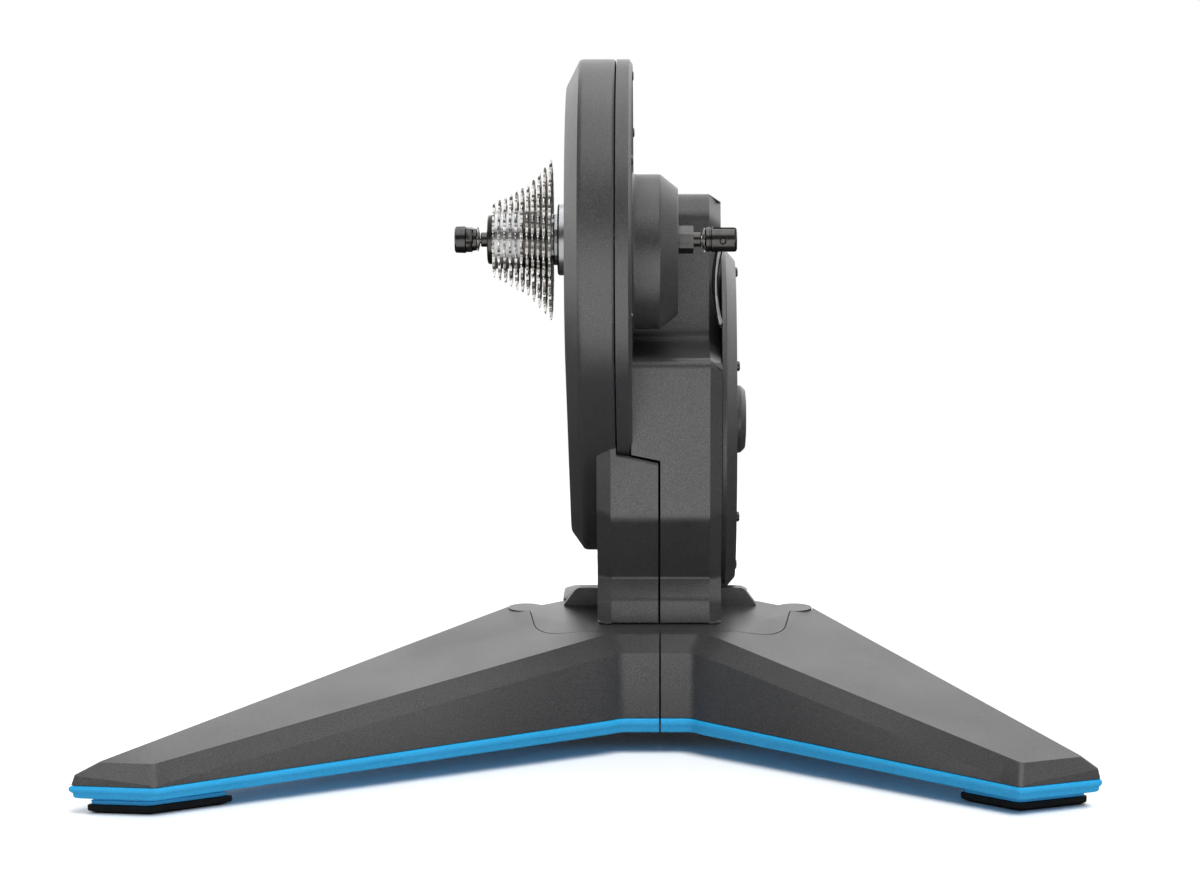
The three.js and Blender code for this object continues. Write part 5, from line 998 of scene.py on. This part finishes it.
SLOT_HALF, PIN_ROOM, PIN_RADIUS = 3.7, 2.3, 2.0


def pin_shape(name, radius, half_length, easing, steps=40):
    """A pin through the middle of the lever's head, along the bicycle."""
    levels = [(-half_length, easing), (easing - half_length, 0), (half_length - easing, 0),
              (half_length, easing)]
    return skinned(name, [
        [spot(LEVER_LINE + (radius - inward) * s, back, AXLE_HEIGHT + (radius - inward) * c)
         for c, s in turns(steps)] for back, inward in levels])


def lever_ring(part):
    """One section of the lever's arm: it bows inwards, thins and twists a little on its way to the tip."""
    tip = max(0.0, (part - 0.93) / 0.07)
    rounding = math.sqrt(max(0.0, 1 - min(tip, 0.985) ** 2))
    half_thick = (2.7 - 1.1 * min(1.0, part * 2.2)) * (0.35 + 0.65 * rounding)
    half_wide = (3.1 + 1.5 * part) * rounding
    bow = LEVER_LINE - 0.6 - 4.7 * math.sin(math.pi * part)
    twist = math.radians(16) * math.sin(math.pi * min(1.0, part * 1.15))
    ring = []
    for c, s in turns(LEVER_STEPS):
        x = half_thick * math.copysign(abs(c) ** 0.7, c)
        y = half_wide * math.copysign(abs(s) ** 0.7, s)
        ring.append(spot(bow + x * math.cos(twist) - y * math.sin(twist),
                         x * math.sin(twist) + y * math.cos(twist), AXLE_HEIGHT - LEVER_REACH * part))
    return ring


grip = spun("skewer_nut_grip", AXLE_POINT, GRIP_PROFILE, 56)
joined(grip, spun("skewer_nut_flare", AXLE_POINT, FLARE_PROFILE, 6))
eased(grip, 0.25, 2)
fitted(grip, "skewer_nut", black_steel, "skewer_nut")
housing = spun("cam_housing_turned", AXLE_POINT, CAM_PROFILE, 64)
lever_slot = skinned("lever_slot", [
    block_ring(LEVER_LINE - 6.5, 99.0, -SLOT_HALF, SLOT_HALF, AXLE_HEIGHT + up) for up in (-10, 10)])
cut_away(housing, lever_slot, pin_shape("pin_room", PIN_ROOM, 10, 0.1))
eased(housing, 0.25, 2)
fitted(housing, "skewer", black_steel, "lever_cam_housing")
lever_pin = pin_shape("lever_pin_turned", PIN_RADIUS, 7.3, 0.4)
eased(lever_pin, 0.2, 2)
fitted(lever_pin, "skewer", ("steel", black_steel[1]), "lever_pin")
dark_chrome = ("dark_chrome", plated_metal("dark_chrome", (0.3, 0.29, 0.285), 0.16, 90.0, 0.45))
lever = skinned("lever_forging", [lever_ring(i / LEVER_SECTIONS) for i in range(1, LEVER_SECTIONS + 1)])
joined(lever, pin_shape("lever_head", 5.9, 3.2, 0.5))
cut_away(lever, pin_shape("pin_room", 2.2, 10, 0.1))
eased(lever, 0.3, 2, 35)
fitted(lever, "lever", dark_chrome, "quick_release_lever")

# Skewer springs. Two small conical springs, wound from round steel wire, centre the skewer between the
# dropouts. Their narrow ends face the stubs of the axle ends.
SPRING_SIZES = {"Turns": 3.0, "Small Radius": 0.0034, "Large Radius": 0.0079, "Rise": 0.0013,
                "Wire Radius": 0.00045}
SPRING_SEATS = [("skewer_spring_drive", -72.7, -1.0), ("skewer_spring_far", 74.2, 1.0)]


def spring_tree():
    """Round wire swept along a conical spiral that rises along a line across the trainer."""
    tree, given = geometry_tree("conical_spring", Float=(*SPRING_SIZES, "Side"), Vector=("Seat",),
                                Material=("Material",))
    spiral = added(tree, "GeometryNodeCurveSpiral", {
        "Resolution": 40, "Rotations": given["Turns"], "Start Radius": given["Small Radius"],
        "End Radius": given["Large Radius"], "Height": given["Rise"]})
    wire = added(tree, "GeometryNodeCurvePrimitiveCircle", {"Resolution": 10, "Radius": given["Wire Radius"]})
    swept = added(tree, "GeometryNodeCurveToMesh", {
        "Curve": spiral, "Profile Curve": wire, "Fill Caps": True})
    tilt = added(tree, "ShaderNodeCombineXYZ", {"Y": worked(tree, "MULTIPLY", given["Side"], math.pi / 2)})
    put = added(tree, "GeometryNodeTransform", {
        "Geometry": swept, "Translation": given["Seat"], "Rotation": tilt})
    smooth = added(tree, "GeometryNodeSetShadeSmooth", {"Geometry": put})
    return dressed(tree, smooth, given["Material"])


steel = ("steel", plated_metal("turned_steel", (0.5, 0.5, 0.51), 0.26, 200.0, 0.3))
conical_spring = spring_tree()
for spring_name, seat, side in SPRING_SEATS:
    spring = grown_from(conical_spring, spring_name + "_wire", {
        **SPRING_SIZES, "Side": side, "Seat": tuple(spot(seat, 0, AXLE_HEIGHT)), "Material": steel[1]})
    fitted(spring, "base", steel, spring_name)

# Power inlet. A rubber block low on the rear of the tower with a round socket. A steel sleeve lines the
# socket and a steel pin stands at its centre.
INLET_BACK, INLET_ACROSS, INLET_HEIGHT = 203.3, 62.0, 92.0
INLET_HALF_WIDTH, INLET_HALF_HEIGHT, INLET_BEND = 8.0, 7.0, 2.5
INLET_LEVELS = [(190.4, 0), (200.5, 0), (201.0, 0.8), (INLET_BACK - 0.5, 0.8), (INLET_BACK, 1.3)]
SOCKET_RADIUS, SLEEVE_RADIUS, SLEEVE_BORE = 3.4, 3.3, 2.9
PIN_PROFILE = [(193.5, 0.8), (200.2, 0.8), (200.8, 0.4)]


def inlet_ring(back, inset):
    wide, high = INLET_HALF_WIDTH - inset, INLET_HALF_HEIGHT - inset
    return rounded([spot(INLET_ACROSS + wide * x, back, INLET_HEIGHT + high * z)
                    for x, z in ((-1, -1), (1, -1), (1, 1), (-1, 1))], [INLET_BEND] * 4)


def inlet_round(name, profile, steps=32):
    return skinned(name, [[spot(INLET_ACROSS + radius * c, back, INLET_HEIGHT + radius * s)
                           for c, s in turns(steps)] for back, radius in profile])


inlet = skinned("power_inlet_moulding", [inlet_ring(*level) for level in INLET_LEVELS])
cut_away(inlet, inlet_round("inlet_bore", [(193.4, SOCKET_RADIUS), (INLET_BACK + 2, SOCKET_RADIUS)]))
eased(inlet, 0.3, 2)
fitted(inlet, "base", rubber, "power_inlet")
sleeve = inlet_round("inlet_sleeve", [(193.6, SLEEVE_RADIUS), (INLET_BACK - 0.6, SLEEVE_RADIUS)])
cut_away(sleeve, inlet_round("sleeve_bore", [(193.0, SLEEVE_BORE), (INLET_BACK, SLEEVE_BORE)]))
fitted(sleeve, "base", steel)
centre_pin = inlet_round("inlet_pin", PIN_PROFILE, 16)
fitted(centre_pin, "base", steel)

# Inner pieces. What sits inside the case, the tower and the legs keeps its CAD shape and gets the real
# finish. The flywheel and leg beams are painted iron, the stator is wound with copper, the board is
# lacquered green.
iron = ("iron", plated_metal("cast_iron", (0.1, 0.1, 0.11), 0.55, 240.0, 0.4))
copper = ("copper", plated_metal("copper_windings", (0.5, 0.2, 0.08), 0.4, 400.0, 0.4))
board = ("board_green", grained_plastic("board_lacquer", (0.02, 0.12, 0.05), 0.4, 0.00005, 1.3))
finishes = dict([charcoal, blue, rubber, black_steel, steel, aluminium, dark_chrome, iron, copper, board])
slot_of = {row["node"]: row["material_slot"] for row in frame["record"]["subparts"]}
for node_name, node in frame["nodes"].items():
    node.data.materials.clear()
    node.data.materials.append(finishes[slot_of[node_name]])
